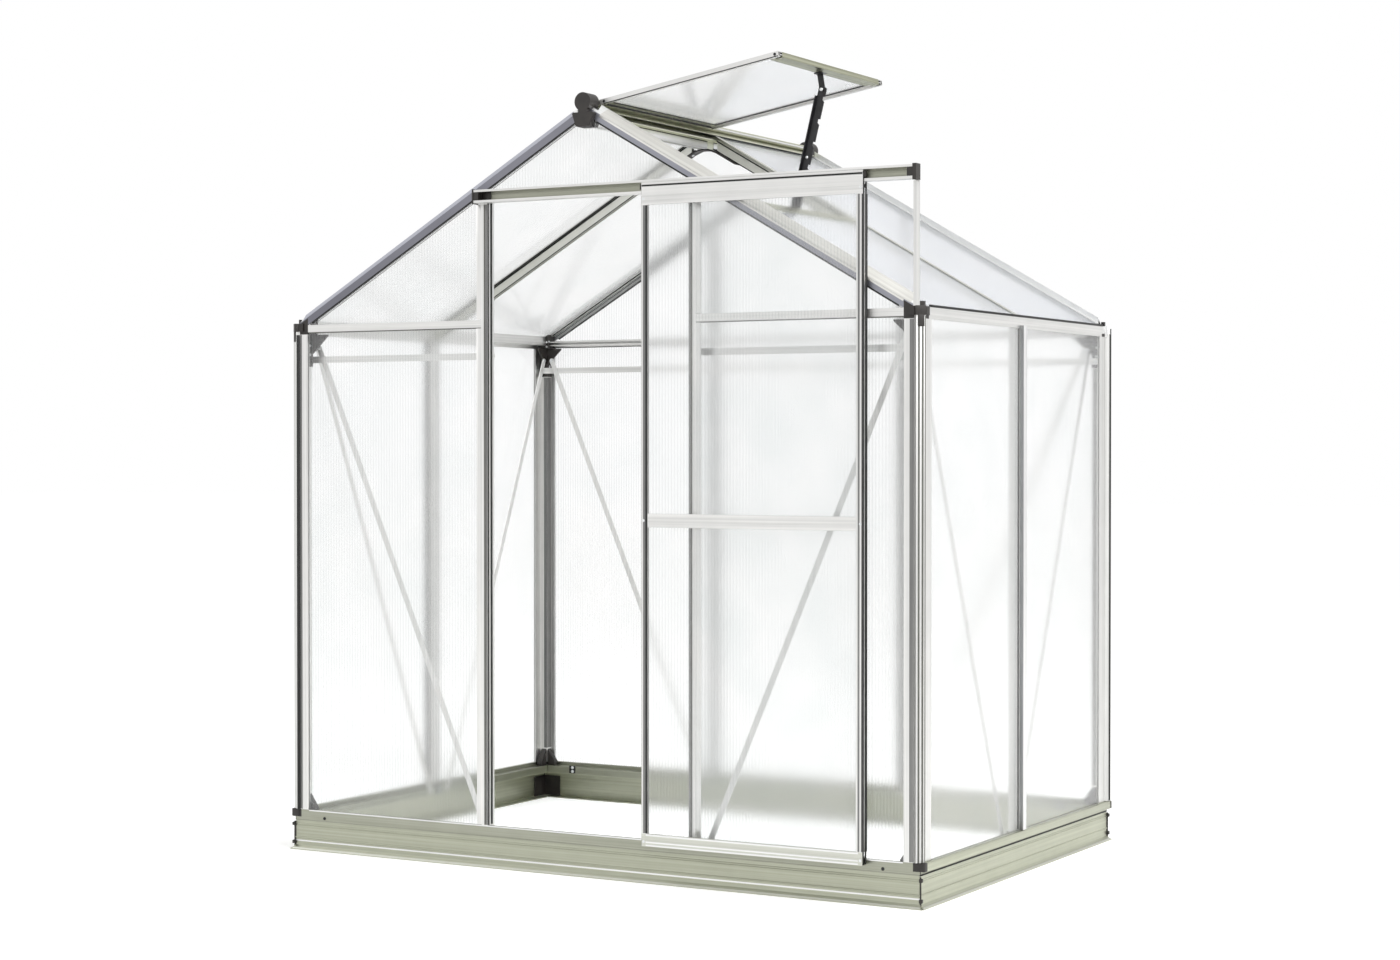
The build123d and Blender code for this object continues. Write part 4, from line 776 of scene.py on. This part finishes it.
# Black strips of painted shade under the gable rafters on the gable sheets, lines of it on their inner faces,
# and lines along the flange and the bolt channel of the middle rafters
under_rafter = rafter_depth + 0.05
under_shade_section = [(0.2, under_rafter), (2.1, under_rafter), (2.1, 28.4), (0.2, 28.4)]
inner_lines = ((6.5, 8.4), (10.8, 15.2), (18.6, 20), (22, 23.9))
mid_lines = ((8.7, 12.6), (33, 35.9))
mid_rafter_run = (52, 1050)
rafter_shade_reach = 904
seals = bmesh.new()
for side in (-1, 1):
    for inward in (-1, 1):
        place = rafter_frame(side, -inward * half_depth, inward)
        start, end = gable_rafter_ends(side, inward, rafter_shade_reach)
        add_strip(seals, place, under_shade_section, start, end)
        for top, bottom in inner_lines:
            low = (rafter_inner - 0.05, top, start)
            add_block(seals, place, low, (rafter_inner + 0.6, bottom, end), edge=0.2)
    start, end = on_side(-side, *mid_rafter_run)
    for edge_side in (-1, 1):
        left, right = on_side(edge_side, web_half - 0.1, web_half + 0.7)
        for top, bottom in mid_lines:
            add_block(seals, rafter_frame(side, 0, 1), (left, top, start), (right, bottom, end), edge=0.2)
finish_piece("rafter_shade_lines", seals, "frame", seal_and_shade_rubber)

# Gaskets along the flanges of the glazing bars, against the inside of the sheets, their black partly painted
# shade between flange and sheet. In front they lie on the side away from the doorway, at the back on the
# right-hand side.
gasket_edges = (bar_half + 0.05, bar_half + 2.6)
gasket_depths = (6.3, flange_depth + 0.6)
stud_parts = ((sill_top + 2, tie_height - 12), (tie_height + 12, stud_top))
gable_gaskets = {
    "front": ((-bay_edge, -1), (bay_edge, 1)),
    "back": ((-bay_edge, -1), (bay_edge, -1)),
}
gasket_end = 1054
under_ridge = 50
under_vent = 570


def add_gasket(shape, place, side, start, end):
    """Bead beside a glazing bar's inner flange, on one side of the bar."""
    left, right = on_side(side, *gasket_edges)
    add_block(shape, place, (left, gasket_depths[0], start), (right, gasket_depths[1], end), edge=0.5)


gaskets = bmesh.new()
for wall, bars in gable_gaskets.items():
    for along, side in bars:
        for start, end in stud_parts:
            add_gasket(gaskets, wall_frame(wall, along), side, start, end)
for wall in ("left", "right"):
    for side in (-1, 1):
        add_gasket(gaskets, wall_frame(wall), side, sill_top + 2, eaves_low - 1)
for side in (-1, 1):
    for edge_side in (-1, 1):
        beside_vent = side == 1 and edge_side == -1
        start, end = on_side(-side, under_vent if beside_vent else under_ridge, gasket_end)
        add_gasket(gaskets, rafter_frame(side, 0, 1), edge_side, start, end)
finish_piece("glazing_gaskets", gaskets, "frame", seal_and_shade_rubber)

# Covers on the side studs, in line with the noses of the sills, each with a grey strip of painted shade on
# its front side
stud_heights = (sill_top + 0.5, eaves_low + 7)
stud_cover_half = 9.8
strip_edges = (9.9, 11.6)
covers, strips = new_shapes(2)
for wall in ("left", "right"):
    low = (-stud_cover_half, -nose_depth, stud_heights[0])
    add_block(covers, wall_frame(wall), low, (stud_cover_half, -0.1, stud_heights[1]), edge=0.8)
    to_front = -1 if wall == "right" else 1
    left, right = on_side(to_front, *strip_edges)
    low = (left, -nose_depth + 1.5, stud_heights[0])
    add_block(strips, wall_frame(wall), low, (right, sunk, stud_heights[1]), edge=0.4)
finish_piece("stud_covers", covers, "frame", white_alu["z"])
finish_piece("stud_cover_shade_strips", strips, "frame", stud_shade_alu)

# Black strips along the rims of the eaves beams, painted shadow where the roof sheets meet the rims
rim_half = half_depth - 47
rim_heights = (eaves_height + 0.4, eaves_height + 6.4)
strips = bmesh.new()
for wall in ("left", "right"):
    low = (-rim_half, -3.4, rim_heights[0])
    add_block(strips, wall_frame(wall), low, (rim_half, -2.3, rim_heights[1]), edge=0.3)
finish_piece("eaves_rim_shadow_strips", strips, "frame", seal_and_shade_rubber)

# Grey strips of painted shade on the right-hand sides of the back studs
shaded_stud_parts = ((sill_top + 2, tie_height - 30), (tie_height + 30, 1740))
stud_shade_shapes = bmesh.new()
for along in (-bay_edge, bay_edge):
    for start, end in shaded_stud_parts:
        low = (-web_half - 0.7, 9, start)
        add_block(stud_shade_shapes, wall_frame("back", along), low, (0.05 - web_half, bar_depth - 0.5, end), edge=0.2)
finish_piece("stud_shade_strips", stud_shade_shapes, "frame", painted_shade_alu)

# Jambs: wider flanges on the sheets, and beside the doorway painted shade: a grey line and a darker metal
# strip
jamb_parts = ((sill_top + 2, tie_height - 12), (tie_height + 12, jamb_top))
flange_edges = (bay_edge + bar_half + 0.05, bay_edge + bar_half + 15)
flange_depths = (0.1, 1.9)
line_edges = (bay_edge + 1, bay_edge - 3.5)
cover_edges = (bay_edge - 3.7, bay_edge - 9.6)
flanges, covers, lines = new_shapes(3)
for side in (-1, 1):
    left, right = on_side(side, *flange_edges)
    for start, end in jamb_parts:
        low = (left, flange_depths[0], start)
        add_block(flanges, wall_frame("front"), low, (right, flange_depths[1], end), edge=0.3)
    for shape, edges in ((lines, line_edges), (covers, cover_edges)):
        left, right = on_side(side, *edges)
        low = (left, -0.35, sill_top + 1)
        add_block(shape, wall_frame("front"), low, (right, cover_sunk, jamb_top), edge=0.15)
finish_piece("jamb_flanges", flanges, "frame", mill["z"])
finish_piece("jamb_shade_covers", covers, "frame", painted_shade_alu)
finish_piece("jamb_shade_lines", lines, "frame", painted_shade_rubber)

# Draught seals in the jambs' slots on the doorway's side, and a black line of painted shade along their bolt
# channels
seal_top = header_height - header_half
slot_edges = (bay_edge - 11.4, bay_edge - 2.1)
slot_depths = (2.1, 6.3)
channel_edges = (bay_edge - web_half - 0.8, bay_edge - web_half + 0.1)
channel_depths = (19, 27)
seals = bmesh.new()
for side in (-1, 1):
    left, right = on_side(side, *slot_edges)
    low = (left, slot_depths[0], sill_top + 1)
    add_block(seals, wall_frame("front"), low, (right, slot_depths[1], seal_top))
    left, right = on_side(side, *channel_edges)
    low = (left, channel_depths[0], sill_top + 1)
    add_block(seals, wall_frame("front"), low, (right, channel_depths[1], seal_top), edge=0.3)
finish_piece("doorway_seals", seals, "frame", seal_and_shade_rubber)

# Seals of the ridge, along the edges of its covers and of the sheets' seats, their black partly painted shade
# in the gaps
ridge_end = ridge_half - 2
ridge_cover_edge = ((39.3, -1.5), (40.6, -0.2))
ridge_seat_edge = ((46.3, 8.4), (47.9, 10.9))
seals = bmesh.new()
for side in (-1, 1):
    for (near, far), edge in ((ridge_cover_edge, 0.2), (ridge_seat_edge, 0.4)):
        add_block(seals, slope_frame(side), (*near, -ridge_end), (*far, ridge_end), edge)
finish_piece("ridge_seals", seals, "frame", seal_and_shade_rubber)

# Filler rod in the free half of the ridge's right socket, behind the vent
filler_radius = 3.6
filler_start = (17, 6, hinge_height)
filler = bmesh.new()
bmesh.ops.create_circle(
    filler,
    segments=16,
    radius=filler_radius,
    cap_ends=True,
    matrix=Matrix.Translation(filler_start) @ Matrix.Rotation(pi / 2, 4, "X"),
)
filler.faces.ensure_lookup_table()
draw_out(filler, filler.faces[0], (0, ridge_half - 8, 0))
finish_piece("ridge_filler_rod", filler, "frame", white_alu["y"])

# Bright strips of painted light round the lower half of the ridge's box, on both sides of the strap, with a
# seal along their top
strap_half = 18
side_cover = (ridge_box_half + 0.05, ridge_box_half + 0.8)
under_cover = (4.5, ridge_box_half + 0.4)
side_cover_top = ridge_low + 18
covers, seals = new_shapes(2)
for side in (-1, 1):
    for start, end in ((-ridge_end, -strap_half), (strap_half, ridge_end)):
        left, right = on_side(side, *side_cover)
        add_block(covers, Matrix(), (left, start, ridge_low + 0.2), (right, end, side_cover_top), edge=0.2)
        low = (left, start, side_cover_top + 0.2)
        add_block(seals, Matrix(), low, (right, end, side_cover_top + 2.6), edge=0.2)
        left, right = on_side(side, *under_cover)
        add_block(covers, Matrix(), (left, start, ridge_low - 0.75), (right, end, ridge_low - 0.05), edge=0.2)
finish_piece("ridge_side_light_strips", covers, "frame", white_alu["y"])
finish_piece("ridge_side_seals", seals, "frame", seal_and_shade_rubber)

# Bolts on the arms and the blocks of the eaves brackets and on the ridge's strap, each head given by its
# radius and its height
arm_bolts = (eaves_low - 30, eaves_low - 55)
arm_bolt_across = 22
arm_bolt_head = (4, 3)
block_bolts = (eaves_low + 21, eaves_low + 7)
block_side_bolt = eaves_low + 23
block_bolt_across = 41
block_bolt_head = (3.4, 2.4)
strap_bolts = (70, 100)
strap_under = bar_depth + 4
bolts = bmesh.new()
for wall in WALLS:
    corner = corner_frame(wall)
    for height in arm_bolts:
        place = moved(corner, arm_bolt_across, bracket_arm_end, height)
        add_screw(bolts, facing_in(place), *arm_bolt_head)
        place = moved(corner, bracket_arm_end, arm_bolt_across, height)
        add_screw(bolts, facing_along(place), *arm_bolt_head)
    for height in block_bolts:
        place = moved(corner, bracket_size, block_bolt_across, height)
        add_screw(bolts, facing_along(place), *block_bolt_head)
    place = moved(corner, block_bolt_across, bracket_size, block_side_bolt)
    add_screw(bolts, facing_in(place), *block_bolt_head)
for side in (-1, 1):
    for along in strap_bolts:
        add_screw(bolts, facing_in(moved(slope_frame(side), along, strap_under)), *arm_bolt_head)
finish_piece("bracket_bolts", bolts, "frame", zinc)

# Gussets on the sill's corners, and on the sides plastic plugs and bright plates beside the eaves caps. The
# plugs' and plates' edges are measured from the corner, and the plates at the back are wider and thicker.
gusset_low = sill_ledge + 0.1
gusset_foot = 14
gusset_height = 52
gusset_run = 26
gusset_depths = (-30, -12)
plug_edges = (28, 45.9)
plug_heights = (eaves_low + 8.5, eaves_height + 1.5)
plate_end = 27.8
plate_top = eaves_height + 2.2
front_plate = (20.3, 1.2, eaves_low + 7.8)
back_plate = (12, 4.8, eaves_low)
plugs, plates, gussets = new_shapes(3)
for wall, (face, run, half_run) in WALLS.items():
    place = wall_frame(wall)
    for side in (-1, 1):
        inner = side * (half_run - post_size - 0.1)
        outline = [
            (inner, gusset_low),
            (inner - side * gusset_run, gusset_low),
            (inner - side * gusset_run, sill_ledge + gusset_foot),
            (inner, sill_ledge + gusset_height),
        ]
        add_strip(gussets, facing_out(place), outline, *gusset_depths)
        if wall in ("left", "right"):
            at_front = (place @ Vector((side * half_run, 0, 0))).y < 0
            left, right = on_side(side, half_run - plug_edges[0], half_run - plug_edges[1])
            low = (left, -2.4, plug_heights[0])
            add_block(plugs if at_front else plates, place, low, (right, 0.3, plug_heights[1]), edge=0.6)
            plate_start, plate_proud, plate_low = front_plate if at_front else back_plate
            left, right = on_side(side, half_run - plate_start, half_run - plate_end)
            add_block(plates, place, (left, -plate_proud, plate_low), (right, 0.3, plate_top))
finish_piece("eaves_plugs", plugs, "frame", bracket_plastic)
finish_piece("eaves_corner_plates", plates, "frame", white_alu["z"])
finish_piece("sill_gussets", gussets, "frame", bracket_plastic)

# Joint plates inside the sills with two bolts each
plate_half = 11
plate_heights = (base_height + 1, base_height + 25)
joint_bolt_heights = (base_height + 6.5, base_height + 18.5)
joint_bolt_head = (5, 3)
back_joint = 820
plates, bolts = new_shapes(2)
for wall, along in (("back", back_joint), ("back", -back_joint), ("left", 0), ("right", 0)):
    inside = moved(wall_frame(wall, along), 0, bar_depth)
    add_block(plates, inside, (-plate_half, 0.05, plate_heights[0]), (plate_half, 1.6, plate_heights[1]))
    for height in joint_bolt_heights:
        add_screw(bolts, facing_in(moved(inside, -1, 1.5, height)), *joint_bolt_head)
finish_piece("sill_joint_plates", plates, "frame", stay_paint)
finish_piece("sill_joint_bolts", bolts, "frame", zinc)

# Painted shade on the back of the door rail's channel, with a black stop pad at its left end
channel_heights = (rail_low + 2.2, rail_top - 2.2)
lining = bmesh.new()
low = (rail_left + 16, -2.7, channel_heights[0])
add_block(lining, wall_frame("front"), low, (rail_right - 16, -1.9, channel_heights[1]), edge=0.2)
finish_piece("door_rail_shade_lining", lining, "frame", channel_shade_alu)

pad = bmesh.new()
low = (rail_left + 15.2, -4.2, channel_heights[0])
add_block(pad, wall_frame("front"), low, (rail_left + 43, -2.6, channel_heights[1]), edge=0.5)
finish_piece("door_rail_pad", pad, "frame", bracket_plastic)


def add_face_strip(shape, left, right, low, high):
    """Thin strip on the door's outer face."""
    add_block(shape, DOOR, (left, -0.35, low), (right, cover_sunk, high), edge=0.15)


# Door: black seals on its sides, black also as painted shade there, a black line of painted shade near its
# top, black and grey bands of painted shade on the stiles, bright ribs as painted highlights on its foot, and
# screws in the corners and at the middle rail
side_seals = ((0.3, 7), (12.8, 21))
band_heights = (bottom_rail_top + 1, top_rail_low - 1)
black_bands = ((-door_half + 11.8, -door_half + 17.7), (door_half - 3.1, door_half - 0.2))
grey_bands = ((-door_half + 4.4, -door_half + 11.6), (door_half - 13.2, door_half - 8.2))
foot_ribs = (door_bottom + 1, door_bottom + 9, door_bottom + 27)
foot_rib_height = 4
foot_rib_half = door_half - 12
door_screw_heights = (door_bottom + 12, (mid_rail[0] + mid_rail[1]) / 2, door_top - 42)
door_screw_across = door_half - 6
door_screw_head = (3.8, 0.95)
seals = bmesh.new()
for side in (-1, 1):
    left, right = on_side(side, door_half - 0.1, door_half + 0.9)
    for near, far in side_seals:
        add_block(seals, DOOR, (left, near, door_bottom + 1), (right, far, door_top - 2))
add_face_strip(seals, 1 - door_half, door_half - 1, door_top - 10.5, door_top - 6)
for band in black_bands:
    add_face_strip(seals, *band, *band_heights)
finish_piece("door_seals", seals, "door", seal_and_shade_rubber)

bands = bmesh.new()
for band in grey_bands:
    add_face_strip(bands, *band, *band_heights)
finish_piece("door_stile_shade_bands", bands, "door", painted_shade_alu)

ribs = bmesh.new()
for low in foot_ribs:
    add_face_strip(ribs, -foot_rib_half, foot_rib_half, low, low + foot_rib_height)
finish_piece("door_foot_rib_highlights", ribs, "door", white_alu["x"])

screws = bmesh.new()
for side in (-1, 1):
    for height in door_screw_heights:
        add_screw(screws, facing_out(moved(DOOR, side * door_screw_across, 0, height)), *door_screw_head)
finish_piece("door_screws", screws, "door", zinc)

# Vent: gaskets under its sheet, and black strips along the low edges of its hinge and drip bars and on its
# front side bar, partly seals and partly painted shade under the bars
bead_width = 2.6
sheet_lips = (28, 498)
sheet_ends = (vent_back + 22, vent_front - 22)
bead_depths = (-4, -2.1)
low_edges = ((hinge_box_end - sunk, hinge_box_end + 0.7), (drip_start - 0.7, drip_start + sunk))
gaskets = bmesh.new()
for near in (sheet_lips[0], sheet_lips[1] - bead_width):
    low = (near, bead_depths[0], sheet_ends[0])
    add_block(gaskets, VENT, low, (near + bead_width, bead_depths[1], sheet_ends[1]))
for near in (sheet_ends[0], sheet_ends[1] - bead_width):
    low = (sheet_lips[0] + bead_width, bead_depths[0], near)
    add_block(gaskets, VENT, low, (sheet_lips[1] - bead_width, bead_depths[1], near + bead_width))
for left, right in low_edges:
    add_block(gaskets, VENT, (left, -9.3, vent_back + 23), (right, -4.6, vent_front - 23), edge=0.2)
low = (20, -9.3, vent_front - sunk)
add_block(gaskets, VENT, low, (vent_length - 2, -6.6, vent_front + 0.5), edge=0.2)
finish_piece("vent_gaskets", gaskets, "vent", seal_and_shade_rubber)

# Screws in the vent's front corners and the bolt on which the stay turns
vent_screw_head = (4, 1.6)
stay_bolt_head = (4.6, 2.6)
stay_bolt_out = 3.9
screws = bmesh.new()
for along in (22, vent_length - 10):
    add_screw(screws, moved(VENT, along, -2, vent_front), *vent_screw_head)
finish_piece("vent_screws", screws, "vent", stay_paint)

bolts = bmesh.new()
add_screw(bolts, moved(VENT, *stay_pivot, -stay_across + stay_bolt_out), *stay_bolt_head)
finish_piece("stay_bolt", bolts, "vent", zinc)

# Rivet in the stay's hole, on the line from the stay's pivot to its seat on the peg
rivet_head = (4, 2)
stay_half = 1.6
pivot = VENT @ Vector((*stay_pivot, 0))
peg = slope_frame(1) @ Vector((peg_run, peg_depth, 0))
reach = peg - pivot
seat = sqrt(reach.length_squared - peg_offset**2)
stay_angle = atan2(reach.z, reach.x) - atan2(peg_offset, seat)
stay_run = Vector((cos(stay_angle), 0, sin(stay_angle)))
STAY = placed(pivot + ACROSS * stay_across, stay_run, stay_run.cross(ACROSS))
rivets = bmesh.new()
add_screw(rivets, moved(STAY, seat - stay_hole_up, 0, stay_half), *rivet_head)
finish_piece("stay_rivet", rivets, "vent_stay", zinc)

# Floor
floor_mesh = bmesh.new()
bmesh.ops.create_grid(floor_mesh, x_segments=1, y_segments=1, size=40)
floor_data = bpy.data.meshes.new("floor")
floor_mesh.to_mesh(floor_data)
floor_mesh.free()
floor = bpy.data.objects.new("floor", floor_data)
scene.collection.objects.link(floor)


def seen_directly(tree):
    """1 for rays that show the surroundings: straight, in a reflection or through a sheet."""
    ray = add_node(tree, "ShaderNodeLightPath")
    seen = ray.outputs["Is Camera Ray"]
    for other in ("Is Glossy Ray", "Is Transmission Ray"):
        either = add_node(tree, "ShaderNodeMath", {0: seen, 1: ray.outputs[other]}, operation="MAXIMUM")
        seen = either.outputs["Value"]
    return seen


# Matt white paint on the floor, lifted to white where the eye sees it, with the shadow kept
floor_lift = 0.27
floor_paint, tree = new_material("matt_floor_paint")
matt = add_node(tree, "ShaderNodeBsdfDiffuse", {"Color": linear("#F0F0EF")})
lift = add_node(tree, "ShaderNodeMath", {0: seen_directly(tree), 1: floor_lift}, operation="MULTIPLY")
glow = add_node(tree, "ShaderNodeEmission", {"Color": (1, 1, 1, 1), "Strength": lift.outputs["Value"]})
both = add_node(tree, "ShaderNodeAddShader", {0: matt.outputs["BSDF"], 1: glow.outputs["Emission"]})
add_node(tree, "ShaderNodeOutputMaterial", {"Surface": both.outputs["Shader"]})
floor_data.materials.append(floor_paint)


# Lamps, in metres and watts: a key from the right and a weak fill from the left
def area_lamp(name, place, target, size, power):
    """A soft square lamp that looks at a point."""
    lamp = bpy.data.lights.new(name, "AREA")
    lamp.size = size
    lamp.energy = power
    holder = bpy.data.objects.new(name, lamp)
    holder.location = place
    holder.rotation_euler = (Vector(target) - Vector(place)).to_track_quat("-Z", "Y").to_euler()
    scene.collection.objects.link(holder)


area_lamp("key", (4.5, -1.5, 5.0), (0, 0, 1), 4.0, 240)
area_lamp("fill", (-6.0, -2.5, 4.5), (0, 0, 1), 4.0, 60)

# White surroundings, a little weaker as light than as seen
world_light = 0.85
world = bpy.data.worlds.new("studio")
scene.world = world
world.use_nodes = True
world.node_tree.nodes.clear()
tree = world.node_tree
strength = add_node(
    tree, "ShaderNodeMapRange", {"Value": seen_directly(tree), "To Min": world_light, "To Max": 1.0}
)
light = add_node(
    tree, "ShaderNodeBackground", {"Color": (1, 1, 1, 1), "Strength": strength.outputs["Result"]}
)
add_node(tree, "ShaderNodeOutputWorld", {"Surface": light.outputs["Background"]})

# Camera at the photograph's viewing angle, in metres and radians
camera_place = (3.5301, -6.2479, 1.1174)
camera_down = 0.0134
camera_turn = 0.5165
camera = bpy.data.cameras.new("camera")
camera.lens = 65.906
camera.sensor_width = 36
holder = bpy.data.objects.new("camera", camera)
holder.location = camera_place
holder.rotation_euler = (pi / 2 - camera_down, 0, camera_turn)
scene.collection.objects.link(holder)
scene.camera = holder

scene.view_settings.view_transform = "Standard"
